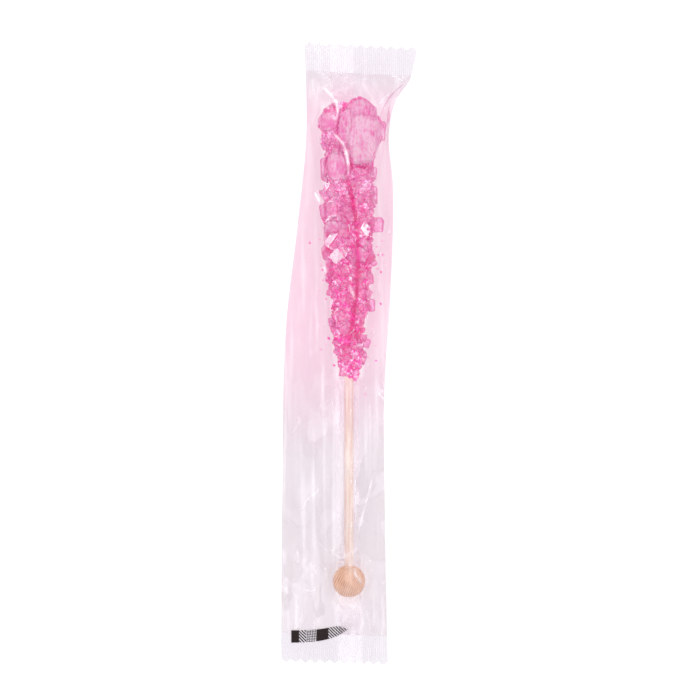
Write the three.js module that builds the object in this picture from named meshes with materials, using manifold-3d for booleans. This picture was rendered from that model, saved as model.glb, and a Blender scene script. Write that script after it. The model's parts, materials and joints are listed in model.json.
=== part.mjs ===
// A rock candy stick sealed in its clear film wrapper, lying on its back.
// The wrapper is one closed bag: film drawn over the candy, the stick and the bead, pressed flat at
// both ends into saw-toothed seals, with a long fin seal folded down along the underside.
// Millimetres, +Z up, +Y towards the candy's head, floor at z = 0.
import * as THREE from "three";
import { mergeVertices } from "three/addons/utils/BufferGeometryUtils.js";
import Module from "manifold-3d";

// The bag.
const BAG_LENGTH = 222;
const SEAL_LENGTH = 10.6;
const SEAL_THICK = 0.5;
const TOOTH_COUNT = 11;
const TOOTH_DEPTH = 1.3;
const FOLD_THICK = 0.5;
const HEAD_SEAL_HEIGHT = 6.4;
const FOOT_SEAL_HEIGHT = 2.6;
const HEAD_SEAL_SLANT = -0.05;
const FOOT_SEAL_SLANT = -0.027;
const FOLD_HEIGHT_SHARE = 0.34;
const FILM_CLEARANCE = 0.5;

// Side folds of the bag seen from above, as [y, x] points.
const LEFT_FOLD = [[-111, -24.4], [-50, -23.8], [12, -22.1], [43, -18.4], [78, -15.1], [111, -15.9]];
const RIGHT_FOLD = [
  [-111, 13.9], [-60, 12.9], [-8, 12.8], [22, 14.7], [62, 15.5], [81, 14.3], [92, 16.8], [99, 21.6], [111, 24.4],
];

// What the bag holds.
const CANDY_TOP = 91.5;
const CANDY_FOOT = -9.5;
const HEAD_RADIUS = 11.8;
const HEAD_MIDDLE = 80;
const HEAD_REACH = 9;
const SHOULDER_RADIUS = 9.1;
const TAIL_RADIUS = 4.4;
const TAIL_LENGTH = 70;
const CANDY_DEPTH_SHARE = 0.86;
const STICK_RADIUS = 1.6;
const BEAD_RADIUS = 5.8;
const BEAD_MIDDLE = -81;

// How the film lies on it.
const FALL_ALONG = 0.36;
const FALL_AT_SEAL = 1.05;
const BELLY_RISE = 0.42;
const FIN_WIDTH = 8.4;
const FIN_THICK = 0.35;
const FIN_AT_HEAD = -2.7;
const FIN_AT_FOOT = 0.6;

// Crystal lumps that push the film up over the candy.
const LUMP_COUNT = 46;
const LUMP_RISE = 1.5;
const LUMP_REACH = 4.6;
const LUMP_SEED = 11;

// The mesh.
const ACROSS = 2 * TOOTH_COUNT;
const BODY_STEP = 2.6;
const HULL_POINTS = 28;

const HALF = BAG_LENGTH / 2;
const HEAD_SEAL_LINE = HALF - SEAL_LENGTH;
const FOOT_SEAL_LINE = SEAL_LENGTH - HALF;

const { clamp, lerp, smoothstep, seededRandom } = THREE.MathUtils;

// A value at y on a smooth line through [y, value] points.
function along(points, y) {
  const last = points.length - 1;
  let i = 0;
  while (i < last - 1 && y > points[i + 1][0]) i += 1;
  const slope = (k) => {
    const before = points[Math.max(0, k - 1)];
    const after = points[Math.min(last, k + 1)];
    return (after[1] - before[1]) / (after[0] - before[0]);
  };
  const [y0, v0] = points[i];
  const [y1, v1] = points[i + 1];
  const span = y1 - y0;
  const t = clamp((y - y0) / span, 0, 1);
  const bend0 = slope(i) * span;
  const bend1 = slope(i + 1) * span;
  return (
    v0 * (1 + 2 * t) * (1 - t) ** 2 + bend0 * t * (1 - t) ** 2 + v1 * t * t * (3 - 2 * t) + bend1 * t * t * (t - 1)
  );
}

// Half the candy's width: a tail that widens into a long body, then a swollen head, rounded at both ends.
function candyRadius(y) {
  if (y < CANDY_FOOT || y > CANDY_TOP) return 0;
  const body = lerp(TAIL_RADIUS, SHOULDER_RADIUS, Math.sqrt(clamp((y - CANDY_FOOT) / TAIL_LENGTH, 0, 1)));
  const head = (HEAD_RADIUS - SHOULDER_RADIUS) * Math.exp(-(((y - HEAD_MIDDLE) / HEAD_REACH) ** 2));
  const capped = Math.sqrt(clamp((CANDY_TOP - y) / HEAD_RADIUS, 0, 1));
  const tail = Math.sqrt(clamp((y - CANDY_FOOT) / TAIL_RADIUS, 0.1, 1));
  return (body + head) * capped * tail;
}

// Half the bead's height at y.
function beadRadius(y) {
  return Math.sqrt(Math.max(0, BEAD_RADIUS ** 2 - (y - BEAD_MIDDLE) ** 2));
}

// The candy lies on its head and the bead, so the stick's axis slopes a little.
function axisHeight(y) {
  const t = (y - BEAD_MIDDLE) / (HEAD_MIDDLE - BEAD_MIDDLE);
  return lerp(BEAD_RADIUS, HEAD_RADIUS * CANDY_DEPTH_SHARE, t) + FILM_CLEARANCE;
}

// Top and half width of what lies in the bag at y.
function contents(y) {
  const candy = candyRadius(y);
  const bead = beadRadius(y);
  const stick = y > BEAD_MIDDLE && y < CANDY_TOP - HEAD_RADIUS ? STICK_RADIUS : 0;
  const half = Math.max(candy, bead, stick);
  const rise = Math.max(candy * CANDY_DEPTH_SHARE, bead, stick);
  return { half, top: half > 0 ? axisHeight(y) + rise + FILM_CLEARANCE : 0 };
}

// The film falls away along the bag no faster than its stiffness lets it.
function drape(y, value, fall) {
  let most = 0;
  for (let from = BEAD_MIDDLE - BEAD_RADIUS; from <= CANDY_TOP; from += 0.5) {
    most = Math.max(most, value(from) - fall * Math.abs(y - from));
  }
  return most;
}

// One cross-section's sizes: side folds, their height, and the top, underside and half width of the filling.
function section(y) {
  const toHead = Math.max(0, HEAD_SEAL_LINE - y);
  const toFoot = Math.max(0, y - FOOT_SEAL_LINE);
  const sealHeight = y > 0 ? HEAD_SEAL_HEIGHT : FOOT_SEAL_HEIGHT;
  const toSeal = Math.min(toHead, toFoot);
  const crown = Math.min(
    Math.max(drape(y, (from) => contents(from).top, FALL_ALONG), FOOT_SEAL_HEIGHT),
    sealHeight + SEAL_THICK / 2 + FALL_AT_SEAL * toSeal,
  );
  const belly = Math.max(0, sealHeight - SEAL_THICK / 2 - BELLY_RISE * toSeal);
  const open = smoothstep(toSeal, 0, 22);
  const fold = lerp(sealHeight, crown * FOLD_HEIGHT_SHARE, open);
  const half = drape(y, (from) => contents(from).half, FALL_ALONG) * smoothstep(toSeal, 0, 8);
  return { y, left: along(LEFT_FOLD, y), right: along(RIGHT_FOLD, y), fold, crown, belly, half };
}

// The taut line over (side 1) or under (side -1) a set of points.
function tautLine(points, side) {
  const line = [];
  for (const p of [...points].sort((a, b) => a.x - b.x)) {
    while (line.length > 1) {
      const a = line.at(-2);
      const b = line.at(-1);
      if (side * ((b.x - a.x) * (p.y - a.y) - (b.y - a.y) * (p.x - a.x)) < 0) break;
      line.pop();
    }
    line.push(p);
  }
  return line;
}

function heightOn(line, x) {
  let i = 1;
  while (i < line.length - 1 && x > line[i].x) i += 1;
  const a = line[i - 1];
  const b = line[i];
  return lerp(a.y, b.y, clamp((x - a.x) / (b.x - a.x), 0, 1));
}

// Seeded lumps on the candy, each with its place and height.
function crystalLumps() {
  seededRandom(LUMP_SEED);
  return Array.from({ length: LUMP_COUNT }, (_, i) => {
    const y = lerp(CANDY_FOOT + TAIL_RADIUS, CANDY_TOP - 6, (i + seededRandom()) / LUMP_COUNT);
    const x = (2 * seededRandom() - 1) * candyRadius(y) * 0.8;
    return { x, y, rise: LUMP_RISE * (0.4 + 0.6 * seededRandom()) };
  });
}

function lumpRise(lumps, x, y) {
  return lumps.reduce(
    (most, lump) => Math.max(most, lump.rise * (1 - Math.hypot(x - lump.x, y - lump.y) / LUMP_REACH)),
    0,
  );
}

// Closed surface through rings of points, each ring running the same way round, capped at both ends.
function loft(rings) {
  const around = rings[0].length;
  const positions = rings.flat().flatMap((p) => [p.x, p.y, p.z]);
  const index = [];
  for (let r = 0; r + 1 < rings.length; r += 1) {
    for (let k = 0; k < around; k += 1) {
      const a = r * around + k;
      const b = r * around + ((k + 1) % around);
      index.push(a, b, a + around, b, b + around, a + around);
    }
  }
  // A ring goes out over the top and comes back underneath, so its two halves face each other.
  const cap = (first, flip) => {
    for (let k = 0; k + 1 < around / 2; k += 1) {
      const a = first + k;
      const b = first + k + 1;
      const c = first + around - 1 - k;
      const d = first + around - 2 - k;
      index.push(...(flip ? [a, b, c, b, d, c] : [a, c, b, b, c, d]));
    }
  };
  cap(0, false);
  cap((rings.length - 1) * around, true);
  const geometry = new THREE.BufferGeometry();
  geometry.setAttribute("position", new THREE.Float32BufferAttribute(positions, 3));
  geometry.setIndex(index);
  return geometry;
}

// One ring of the bag: over the top from the left fold to the right one, and back underneath.
function bagRing(y, lumps, slant, tooth) {
  const s = section(y);
  const middle = (s.crown + s.belly) / 2;
  const reach = (s.crown - s.belly) / 2;
  const ends = [
    { x: s.left, y: s.fold },
    { x: s.right, y: s.fold },
  ];
  const oval = Array.from({ length: HULL_POINTS }, (_, i) => {
    const angle = (2 * Math.PI * i) / HULL_POINTS;
    return { x: s.half * Math.cos(angle), y: middle + reach * Math.sin(angle) };
  });
  const over = tautLine([...ends, ...oval], 1);
  const under = tautLine([...ends, ...oval], -1);
  const top = [];
  const bottom = [];
  for (let k = 0; k <= ACROSS; k += 1) {
    const x = lerp(s.left, s.right, k / ACROSS);
    const inward = Math.min(k, ACROSS - k) / 3;
    const lump = lumpRise(lumps, x, y) * clamp(inward, 0, 1) * smoothstep(s.half, 0, 4);
    const away = y + slant * (x - (s.left + s.right) / 2) + (k % 2 ? 1 : -1) * tooth;
    const high = heightOn(over, x) + FOLD_THICK / 2 + lump;
    const low = Math.max(FIN_THICK * 0.85, heightOn(under, x) - FOLD_THICK / 2);
    top.push(new THREE.Vector3(x, away, Math.max(high, low + FOLD_THICK)));
    bottom.push(new THREE.Vector3(x, away, low));
  }
  return [...top, ...bottom.reverse()];
}

// Places along the bag where it is cut into rings: the teeth, the seals, and even steps between.
function stations() {
  const inner = SEAL_LENGTH - TOOTH_DEPTH;
  const body = [];
  const steps = Math.round((HEAD_SEAL_LINE - FOOT_SEAL_LINE) / BODY_STEP);
  for (let i = 0; i <= steps; i += 1) body.push(lerp(FOOT_SEAL_LINE, HEAD_SEAL_LINE, i / steps));
  const seal = (line, outward) => [0.34, 0.68, 1].map((share) => line + outward * inner * share);
  return [...seal(FOOT_SEAL_LINE, -1).reverse(), ...body, ...seal(HEAD_SEAL_LINE, 1)];
}

function bagShell() {
  const lumps = crystalLumps();
  const slantAt = (y) =>
    y > 0
      ? HEAD_SEAL_SLANT * smoothstep(y, HEAD_SEAL_LINE - 12, HALF)
      : FOOT_SEAL_SLANT * smoothstep(-y, -FOOT_SEAL_LINE - 12, HALF);
  const rings = stations().map((y) => bagRing(y, lumps, slantAt(y), 0));
  const foot = bagRing(TOOTH_DEPTH / 2 - HALF, lumps, FOOT_SEAL_SLANT, TOOTH_DEPTH / 2);
  const head = bagRing(HALF - TOOTH_DEPTH / 2, lumps, HEAD_SEAL_SLANT, TOOTH_DEPTH / 2);
  return loft([foot, ...rings, head]);
}

// The fin seal, folded flat against the underside from one end seal to the other.
function finStrip() {
  const rings = stations()
    .slice(1, -1)
    .map((y) => {
      const s = section(y);
      const x = lerp(FIN_AT_FOOT, FIN_AT_HEAD, (y + HALF) / BAG_LENGTH);
      const low = Math.max(0, s.belly - FIN_THICK);
      const high = low + FIN_THICK + SEAL_THICK / 2;
      const [left, right] = [x - FIN_WIDTH / 2, x + FIN_WIDTH / 2];
      return [
        new THREE.Vector3(left, y, high),
        new THREE.Vector3(right, y, high),
        new THREE.Vector3(right, y, low),
        new THREE.Vector3(left, y, low),
      ];
    });
  return loft(rings);
}

const wasm = await Module();
wasm.setup();

function toSolid(geometry) {
  const merged = mergeVertices(geometry, 1e-4);
  return new wasm.Manifold(
    new wasm.Mesh({
      numProp: 3,
      vertProperties: merged.attributes.position.array,
      triVerts: new Uint32Array(merged.index.array),
    }),
  );
}

function toGeometry(solid) {
  const { vertProperties, triVerts } = solid.getMesh();
  const geometry = new THREE.BufferGeometry();
  geometry.setAttribute("position", new THREE.BufferAttribute(vertProperties, 3));
  geometry.setIndex(new THREE.BufferAttribute(triVerts, 1));
  geometry.computeVertexNormals();
  return geometry;
}

// The origin is the middle of the bag's outline, on the floor.
function centred(geometry) {
  geometry.computeBoundingBox();
  const { min, max } = geometry.boundingBox;
  return geometry.translate(-(min.x + max.x) / 2, -(min.y + max.y) / 2, -min.z);
}

const film = new THREE.MeshStandardMaterial({
  color: 0xf7dbe8,
  roughness: 0.12,
  metalness: 0,
  transparent: true,
  opacity: 0.4,
});

const bag = new THREE.Mesh(centred(toGeometry(toSolid(bagShell()).add(toSolid(finStrip())))), film);
bag.name = "film_bag";

const wrappedCandy = new THREE.Group();
wrappedCandy.add(bag);

export default wrappedCandy;
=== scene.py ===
# %% [markdown]
# A rock candy stick in its clear wrapper, lying flat and seen from above.
# Pink sugar crystals grow on a wooden stick, a wooden bead sits on the stick's other end, and a clear
# film bag is sealed flat at both ends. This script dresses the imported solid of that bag: it makes the
# crystals, the stick, the bead and the film one after the other, and each step says why it is made so.

# %% Load the frame
import json
import math
import random

import bmesh
import bpy
import numpy as np
from mathutils import Euler, Matrix, Vector, noise

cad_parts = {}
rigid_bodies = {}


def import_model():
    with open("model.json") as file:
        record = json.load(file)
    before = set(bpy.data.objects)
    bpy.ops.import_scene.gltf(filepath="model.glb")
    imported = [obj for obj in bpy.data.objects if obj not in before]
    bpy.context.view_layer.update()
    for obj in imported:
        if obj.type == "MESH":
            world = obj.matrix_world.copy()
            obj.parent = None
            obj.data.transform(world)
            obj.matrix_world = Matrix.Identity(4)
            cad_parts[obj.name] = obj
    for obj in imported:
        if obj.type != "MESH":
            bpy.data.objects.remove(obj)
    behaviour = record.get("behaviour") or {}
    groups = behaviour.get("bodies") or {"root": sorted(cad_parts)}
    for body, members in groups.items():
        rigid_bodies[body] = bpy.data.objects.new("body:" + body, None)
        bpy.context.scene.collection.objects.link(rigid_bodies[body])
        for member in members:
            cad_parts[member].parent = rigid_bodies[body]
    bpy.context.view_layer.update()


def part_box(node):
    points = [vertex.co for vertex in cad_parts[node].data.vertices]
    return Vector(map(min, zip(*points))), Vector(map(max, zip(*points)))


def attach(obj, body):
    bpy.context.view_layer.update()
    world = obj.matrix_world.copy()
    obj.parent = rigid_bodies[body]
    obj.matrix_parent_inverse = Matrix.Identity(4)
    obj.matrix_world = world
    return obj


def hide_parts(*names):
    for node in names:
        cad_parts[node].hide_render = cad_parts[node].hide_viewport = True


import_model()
BAG_LOW, BAG_HIGH = (Vector(corner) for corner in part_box("film_bag"))
MM = 0.001
print("bag, mm:", [round(side / MM, 1) for side in BAG_HIGH - BAG_LOW])

# %% [markdown]
# The photograph looks straight down on a white table. A long lens a metre up gives that flat view, and
# its frame is as wide as the picture was at the height of the bag.

# %% Camera
FRAME_WIDTH = 249.7 * MM
CAMERA_HEIGHT = 1.0
CAMERA_PLACE = (0.36 * MM, 1.6 * MM, CAMERA_HEIGHT)
FRAMED_HEIGHT = 8 * MM
FARTHEST_SEEN = 10
scene = bpy.context.scene


def placed(item):
    scene.collection.objects.link(item)
    return item


lens = bpy.data.cameras.new("camera_from_above")
lens.lens = lens.sensor_width * (CAMERA_HEIGHT - FRAMED_HEIGHT) / FRAME_WIDTH
lens.clip_end = FARTHEST_SEEN
camera = placed(bpy.data.objects.new("camera_from_above", lens))
camera.location = CAMERA_PLACE
scene.camera = camera
print("lens, mm:", round(lens.lens, 1))

# %% [markdown]
# Clear film shows only what it mirrors, so the light comes from a bright plain sky and a few small soft
# boxes. The boxes stand well to the side, where only the steep creases of the film send them upwards.

# %% Light
scene.view_settings.view_transform = "Standard"
SKY_STRENGTH = 1.1


def feed(socket, value):
    """Puts a number or colour in a node's input, or links another node's output to it."""
    value = getattr(value, "socket", value)
    if isinstance(value, bpy.types.NodeSocket):
        socket.id_data.links.new(value, socket)
    else:
        socket.default_value = value


def set_inputs(node, **values):
    """Feeds a node's inputs by name; an underscore stands for a space."""
    for name, value in values.items():
        feed(node.inputs[name.replace("_", " ")], value)
    return node


sky = bpy.data.worlds.new("plain_sky")
sky.use_nodes = True
set_inputs(sky.node_tree.nodes["Background"], Color=(1, 1, 1, 1), Strength=SKY_STRENGTH)
scene.world = sky


def soft_box(name, place, size, watts):
    lamp = bpy.data.lights.new(name, "AREA")
    lamp.shape = "RECTANGLE"
    lamp.size, lamp.size_y = size
    lamp.energy = watts
    box = placed(bpy.data.objects.new(name, lamp))
    box.location = place
    box.rotation_euler = (-Vector(place)).to_track_quat("-Z", "Y").to_euler()


soft_box("box_left", place=(-0.42, 0.22, 0.52), size=(0.06, 0.3), watts=0.7)
soft_box("box_right", place=(0.5, -0.05, 0.42), size=(0.05, 0.3), watts=0.5)
soft_box("box_head", place=(0.1, 0.6, 0.5), size=(0.2, 0.05), watts=0.4)
print("lamps:", [light.name for light in bpy.data.lights])

# %% [markdown]
# The table is one large pale square just under the bag. It isn't part of the object, so it is staged.

# %% Table
TABLE_REACH = 3.0
TABLE_GLOW = 0.7
TABLE_SHADE = 0.36


def mesh_object(name, points, faces):
    mesh = bpy.data.meshes.new(name)
    mesh.from_pydata([tuple(p) for p in points], [], faces)
    mesh.validate()
    return placed(bpy.data.objects.new(name, mesh))


def plain_material(name, colour, roughness, **inputs):
    """A material with its tree and its shader, for the steps below to build on."""
    material = bpy.data.materials.new(name)
    material.use_nodes = True
    shader = material.node_tree.nodes["Principled BSDF"]
    set_inputs(shader, Base_Color=(*colour, 1), Roughness=roughness, **inputs)
    return material, material.node_tree, shader


corners = [(x * TABLE_REACH, y * TABLE_REACH, 0) for x, y in ((-1, -1), (1, -1), (1, 1), (-1, 1))]
table = mesh_object("table_top", corners, [(0, 1, 2, 3)])
glow = {"Emission_Color": (1, 1, 1, 1), "Emission_Strength": TABLE_GLOW}
table.data.materials.append(plain_material("pale_table", (TABLE_SHADE,) * 3, 0.9, **glow)[0])

# %% [markdown]
# The candy rests on its swollen head, and the stick's other end on the bead, so the stick slopes a
# little. Every piece inside the bag hangs on this one sloping axis.

# %% The axis
CANDY_TOP = 91.5
CANDY_FOOT = -9.5
HEAD_RADIUS = 11.8
HEAD_MIDDLE = 80
DEPTH_SHARE = 0.86
STICK_RADIUS = 1.6
BEAD_RADIUS = 5.8
BEAD_MIDDLE = -81
CLEARANCE = 0.5


def axis_height(y):
    t = (y - BEAD_MIDDLE) / (HEAD_MIDDLE - BEAD_MIDDLE)
    return BEAD_RADIUS + (HEAD_RADIUS * DEPTH_SHARE - BEAD_RADIUS) * t + CLEARANCE


print("axis height, mm:", round(axis_height(BEAD_MIDDLE), 1), "to", round(axis_height(HEAD_MIDDLE), 1))

# %% [markdown]
# The candy's two edges as the picture shows them, worked out as real sizes: a thin tail at the stick, a
# long body with shallow waists, and a wide head with a notch. A smooth curve joins the named points, each
# a place along the stick with how far the edge lies to the right of it.

# %% The candy's outline
CANDY_LEFT = [
    (-9.5, -1.6), (-7, -3.4), (-3.5, -4.4), (2, -5.6), (12, -6.5), (23, -7.8), (34, -9), (46, -8.8),
    (57, -9.6), (66, -9.3), (73, -9), (81, -10.8), (86, -9.6), (89, -6.5), (91.5, 1.6),
]
CANDY_RIGHT = [
    (-9.5, 3), (-7, 4.9), (-3.5, 5.5), (2, 6), (12, 6.4), (23, 8), (34, 8.8), (46, 8.8),
    (57, 9.5), (66, 8.8), (73, 10.3), (80, 12.3), (86, 9.9), (89.5, 7), (91.5, 4.6),
]


def along(points, y):
    """The value at y on the line through (y, value) points, eased between them."""
    ys, values = zip(*points)
    slopes = np.gradient(values, ys)
    k = int(np.clip(np.searchsorted(ys, y) - 1, 0, len(ys) - 2))
    span = ys[k + 1] - ys[k]
    t = min(max((y - ys[k]) / span, 0), 1)
    start, end = slopes[k] * span, slopes[k + 1] * span
    eased = values[k] * (1 + 2 * t) * (1 - t) ** 2 + values[k + 1] * t * t * (3 - 2 * t)
    return eased + start * t * (1 - t) ** 2 + end * t * t * (t - 1)


def candy_section(y, inset):
    """Middle and half width of the candy at y, with its skin taken inwards."""
    left, right = along(CANDY_LEFT, y) + inset, along(CANDY_RIGHT, y) - inset
    return (left + right) / 2, max((right - left) / 2, STICK_RADIUS * 0.7)


print("candy width at the head, mm:", round(2 * candy_section(HEAD_MIDDLE, 0)[1], 1))

# %% [markdown]
# The stick is a sanded birch dowel that runs from the bead up into the candy's head. It is lofted from
# rings rather than taken as a cylinder, so that its ends are eased and it is a hair out of true, as
# turned dowels are.

# %% The stick
STICK_TOP = 84
STICK_SIDES = 28
STICK_RINGS = 60
STICK_TRUTH = 0.012
SHARP_ANGLE = math.radians(50)


def outward(piece):
    """Turns the faces outwards and shades them smooth where they meet at a low angle."""
    shape = bmesh.new()
    shape.from_mesh(piece.data)
    bmesh.ops.recalc_face_normals(shape, faces=shape.faces)
    shape.to_mesh(piece.data)
    shape.free()
    piece.data.shade_smooth()
    piece.data.set_sharp_from_angle(angle=SHARP_ANGLE)
    return piece


def loft(name, rings, looped=False):
    """A mesh through rings of equal length: closed by a face at both ends, or looped back to its start."""
    around, count = len(rings[0]), len(rings)
    faces = []
    for r in range(count if looped else count - 1):
        low, high = r * around, (r + 1) % count * around
        for k in range(around):
            after = (k + 1) % around
            faces.append((low + k, low + after, high + after, high + k))
    if not looped:
        faces.append(tuple(range(around))[::-1])
        faces.append(tuple(range((count - 1) * around, count * around)))
    return outward(mesh_object(name, [p for ring in rings for p in ring], faces))


def ring_on_axis(y, radius, sides, depth=1.0, middle=0.0, wobble=None):
    """A ring round the sloping axis at y, in metres."""
    ring = []
    for k in range(sides):
        angle = 2 * math.pi * k / sides
        reach = radius * (1 + (wobble(angle, y) if wobble else 0))
        x, z = middle + reach * math.cos(angle), axis_height(y) + reach * depth * math.sin(angle)
        ring.append(Vector((x, y, z)) * MM)
    return ring


def dowel_wobble(angle, y):
    return STICK_TRUTH * math.sin(2 * angle + y / 23)


stick_low = BEAD_MIDDLE - BEAD_RADIUS * 0.96
stick_ys = [stick_low, stick_low + 0.15, stick_low + 0.5]
stick_ys += [*np.linspace(stick_low + 4, STICK_TOP - 1, STICK_RINGS), STICK_TOP]
ring_shares = [0.84, 0.96, *[1] * (STICK_RINGS + 1), 0.8]
stick_rings = [
    ring_on_axis(y, STICK_RADIUS * share, STICK_SIDES, wobble=dowel_wobble)
    for y, share in zip(stick_ys, ring_shares)
]
stick = loft("candy_stick", stick_rings)
print("stick faces:", len(stick.data.polygons))

# %% [markdown]
# The bead is a turned wooden ball with a hole drilled through for the stick. Its outline is an arc with
# an eased rim at each end of the hole, turned about the stick. The loft loops back to its first ring, and
# that last stretch is the inner wall, just clear of the wood.

# %% The bead
HOLE_RADIUS = STICK_RADIUS + 0.06
RIM_RADIUS = HOLE_RADIUS + 0.28
RIM_DROP = 0.12
BEAD_SIDES = 56
BEAD_ARC_STEPS = 26


def bead_profile():
    """(along the stick, out from it) pairs from the lower rim over the ball to the upper one."""
    rim = math.asin(RIM_RADIUS / BEAD_RADIUS)
    angles = np.linspace(math.pi - rim, rim, BEAD_ARC_STEPS)
    arc = [(BEAD_RADIUS * math.cos(a), BEAD_RADIUS * math.sin(a)) for a in angles]
    end = BEAD_RADIUS * math.cos(rim) - RIM_DROP
    return [(-end, HOLE_RADIUS), *arc, (end, HOLE_RADIUS)]


def bead_wobble(angle, y):
    return 0.006 * math.sin(3 * angle + 1) + 0.004 * math.sin(5 * angle + y)


bead_rings = [
    ring_on_axis(BEAD_MIDDLE + step, radius, BEAD_SIDES, wobble=bead_wobble)
    for step, radius in bead_profile()
]
bead = loft("wooden_bead", bead_rings, looped=True)
print("bead faces:", len(bead.data.polygons))

# %% [markdown]
# Under the clear crystals lies a dense mass of grown-together sugar that light can't pass straight
# through. It is a loft of the candy's outline taken inwards, roughened by cell noise into small facets.

# %% The dense sugar
MASS_INSET = 2.3
MASS_STEP = 0.8
MASS_SIDES = 60
MASS_FOOT, MASS_TOP = CANDY_FOOT + 1.2, CANDY_TOP - 2.4
FACET_SIZE = 2.1
FACET_LEVEL = 0.4
FACET_RISE = 0.165
FACET_RADIUS = 8


def facet_wobble(angle, y):
    """Cells of noise on the skin: their middles stand out and their edges sink in."""
    place = Vector((FACET_RADIUS * math.cos(angle), FACET_RADIUS * math.sin(angle), y))
    distances, _ = noise.voronoi(place / FACET_SIZE)
    return (distances[1] - distances[0] - FACET_LEVEL) * FACET_RISE


def candy_loft(name, ys, inset, sides, wobble=None):
    """The candy's outline taken inwards, as a loft with a ring at each y."""
    rings = []
    for y in ys:
        middle, half = candy_section(y, inset)
        rings.append(ring_on_axis(y, half, sides, DEPTH_SHARE, middle, wobble))
    return loft(name, rings)


mass_ys = np.arange(MASS_FOOT, MASS_TOP, MASS_STEP)
sugar_mass = candy_loft("sugar_mass", mass_ys, MASS_INSET, MASS_SIDES, facet_wobble)
print("dense sugar faces:", len(sugar_mass.data.polygons))

# %% [markdown]
# A sugar crystal is a slanted block with some of its edges cut off by flat faces. Each is cut from a
# box by planes laid across its edges, and its corners are eased a little so that they catch the light.

# %% One crystal
CUT_DIRECTIONS = [
    (1, 0, 1), (-1, 0, 1), (0, 1, 1), (0, -1, 1), (1, 1, 0), (-1, 1, 0), (1, -1, 0), (-1, -1, 0),
]
CUT_LEAN = 0.22
CUT_REACH = (0.72, 0.92)
SHALLOW_ANGLE = math.radians(24)
FLAT_ANGLE = math.radians(4)


def hull_mesh(name, corners, ease):
    """The tight closed skin round some points, with flat faces kept whole and its steep edges eased."""
    skin = bmesh.new()
    for corner in corners:
        skin.verts.new(corner)
    hull = bmesh.ops.convex_hull(skin, input=skin.verts)
    loose = {v for v in hull["geom_interior"] + hull["geom_unused"] if isinstance(v, bmesh.types.BMVert)}
    bmesh.ops.delete(skin, geom=list(loose), context="VERTS")
    bmesh.ops.dissolve_limit(skin, angle_limit=FLAT_ANGLE, verts=skin.verts, edges=skin.edges)
    edge = skin.faces.layers.int.new("edge")
    steep = [e for e in skin.edges if e.calc_face_angle(0) > SHALLOW_ANGLE]
    if ease:
        eased = bmesh.ops.bevel(skin, geom=steep, offset=ease, segments=1, affect="EDGES")
        for face in eased["faces"]:
            face[edge] = 1
    bmesh.ops.recalc_face_normals(skin, faces=skin.faces)
    mesh = bpy.data.meshes.new(name)
    skin.to_mesh(mesh)
    skin.free()
    return mesh


def crystal_mesh(name, draw, cuts, ease):
    """A crystal about 1 unit long, its length along Z."""
    block = bmesh.new()
    bmesh.ops.create_cube(block, size=1)
    size = (draw.uniform(0.6, 0.85), draw.uniform(0.75, 1.05), draw.uniform(0.9, 1.3))
    bmesh.ops.scale(block, vec=size, verts=block.verts)
    slant = Matrix.Identity(4)
    slant[0][2] = draw.uniform(-0.25, 0.25)
    bmesh.ops.transform(block, matrix=slant, verts=block.verts)
    for direction in draw.sample(CUT_DIRECTIONS, cuts):
        facing = Vector([part + draw.gauss(0, CUT_LEAN) for part in direction]).normalized()
        reach = max(facing.dot(v.co) for v in block.verts)
        cut = bmesh.ops.bisect_plane(
            block,
            geom=block.verts[:] + block.edges[:] + block.faces[:],
            plane_co=facing * reach * draw.uniform(*CUT_REACH),
            plane_no=facing,
            clear_outer=True,
        )
        rim = [e for e in cut["geom_cut"] if isinstance(e, bmesh.types.BMEdge)]
        if len(rim) > 2:
            bmesh.ops.contextual_create(block, geom=rim)
    bmesh.ops.remove_doubles(block, verts=block.verts, dist=0.03)
    corners = [v.co.copy() for v in block.verts]
    block.free()
    return hull_mesh(name, corners, ease)


def crystal_kinds(name, count, seed, cuts, ease):
    """A collection of different crystals for the tree to pick from."""
    draw = random.Random(seed)
    kinds = bpy.data.collections.new(name)
    for k in range(count):
        mesh = crystal_mesh(f"{name}_{k}", draw, draw.randint(*cuts), ease)
        kinds.objects.link(bpy.data.objects.new(f"{name}_{k}", mesh))
    return kinds


block_kinds = crystal_kinds("block_kind", count=12, seed=4, cuts=(3, 6), ease=0.065)
small_block_kinds = crystal_kinds("small_block_kind", count=12, seed=14, cuts=(1, 2), ease=0.065)
grain_kinds = crystal_kinds("grain_kind", count=10, seed=9, cuts=(2, 4), ease=0)

# %% [markdown]
# Trees of nodes make the scattered crystals here and every finish further on. These helpers add a node
# with its settings and inputs, and let a number that changes from place to place be worked on with the
# signs of sums, so that each tree reads as a short list of what it is made of.

# %% Helpers for trees of nodes
def add_node(tree, kind, settings=(), **inputs):
    """A new node: the settings are its own choices, the inputs numbers, colours or other nodes' outputs."""
    node = tree.nodes.new(kind)
    for name, value in dict(settings).items():
        setattr(node, name, value)
    return set_inputs(node, **inputs)


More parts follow.
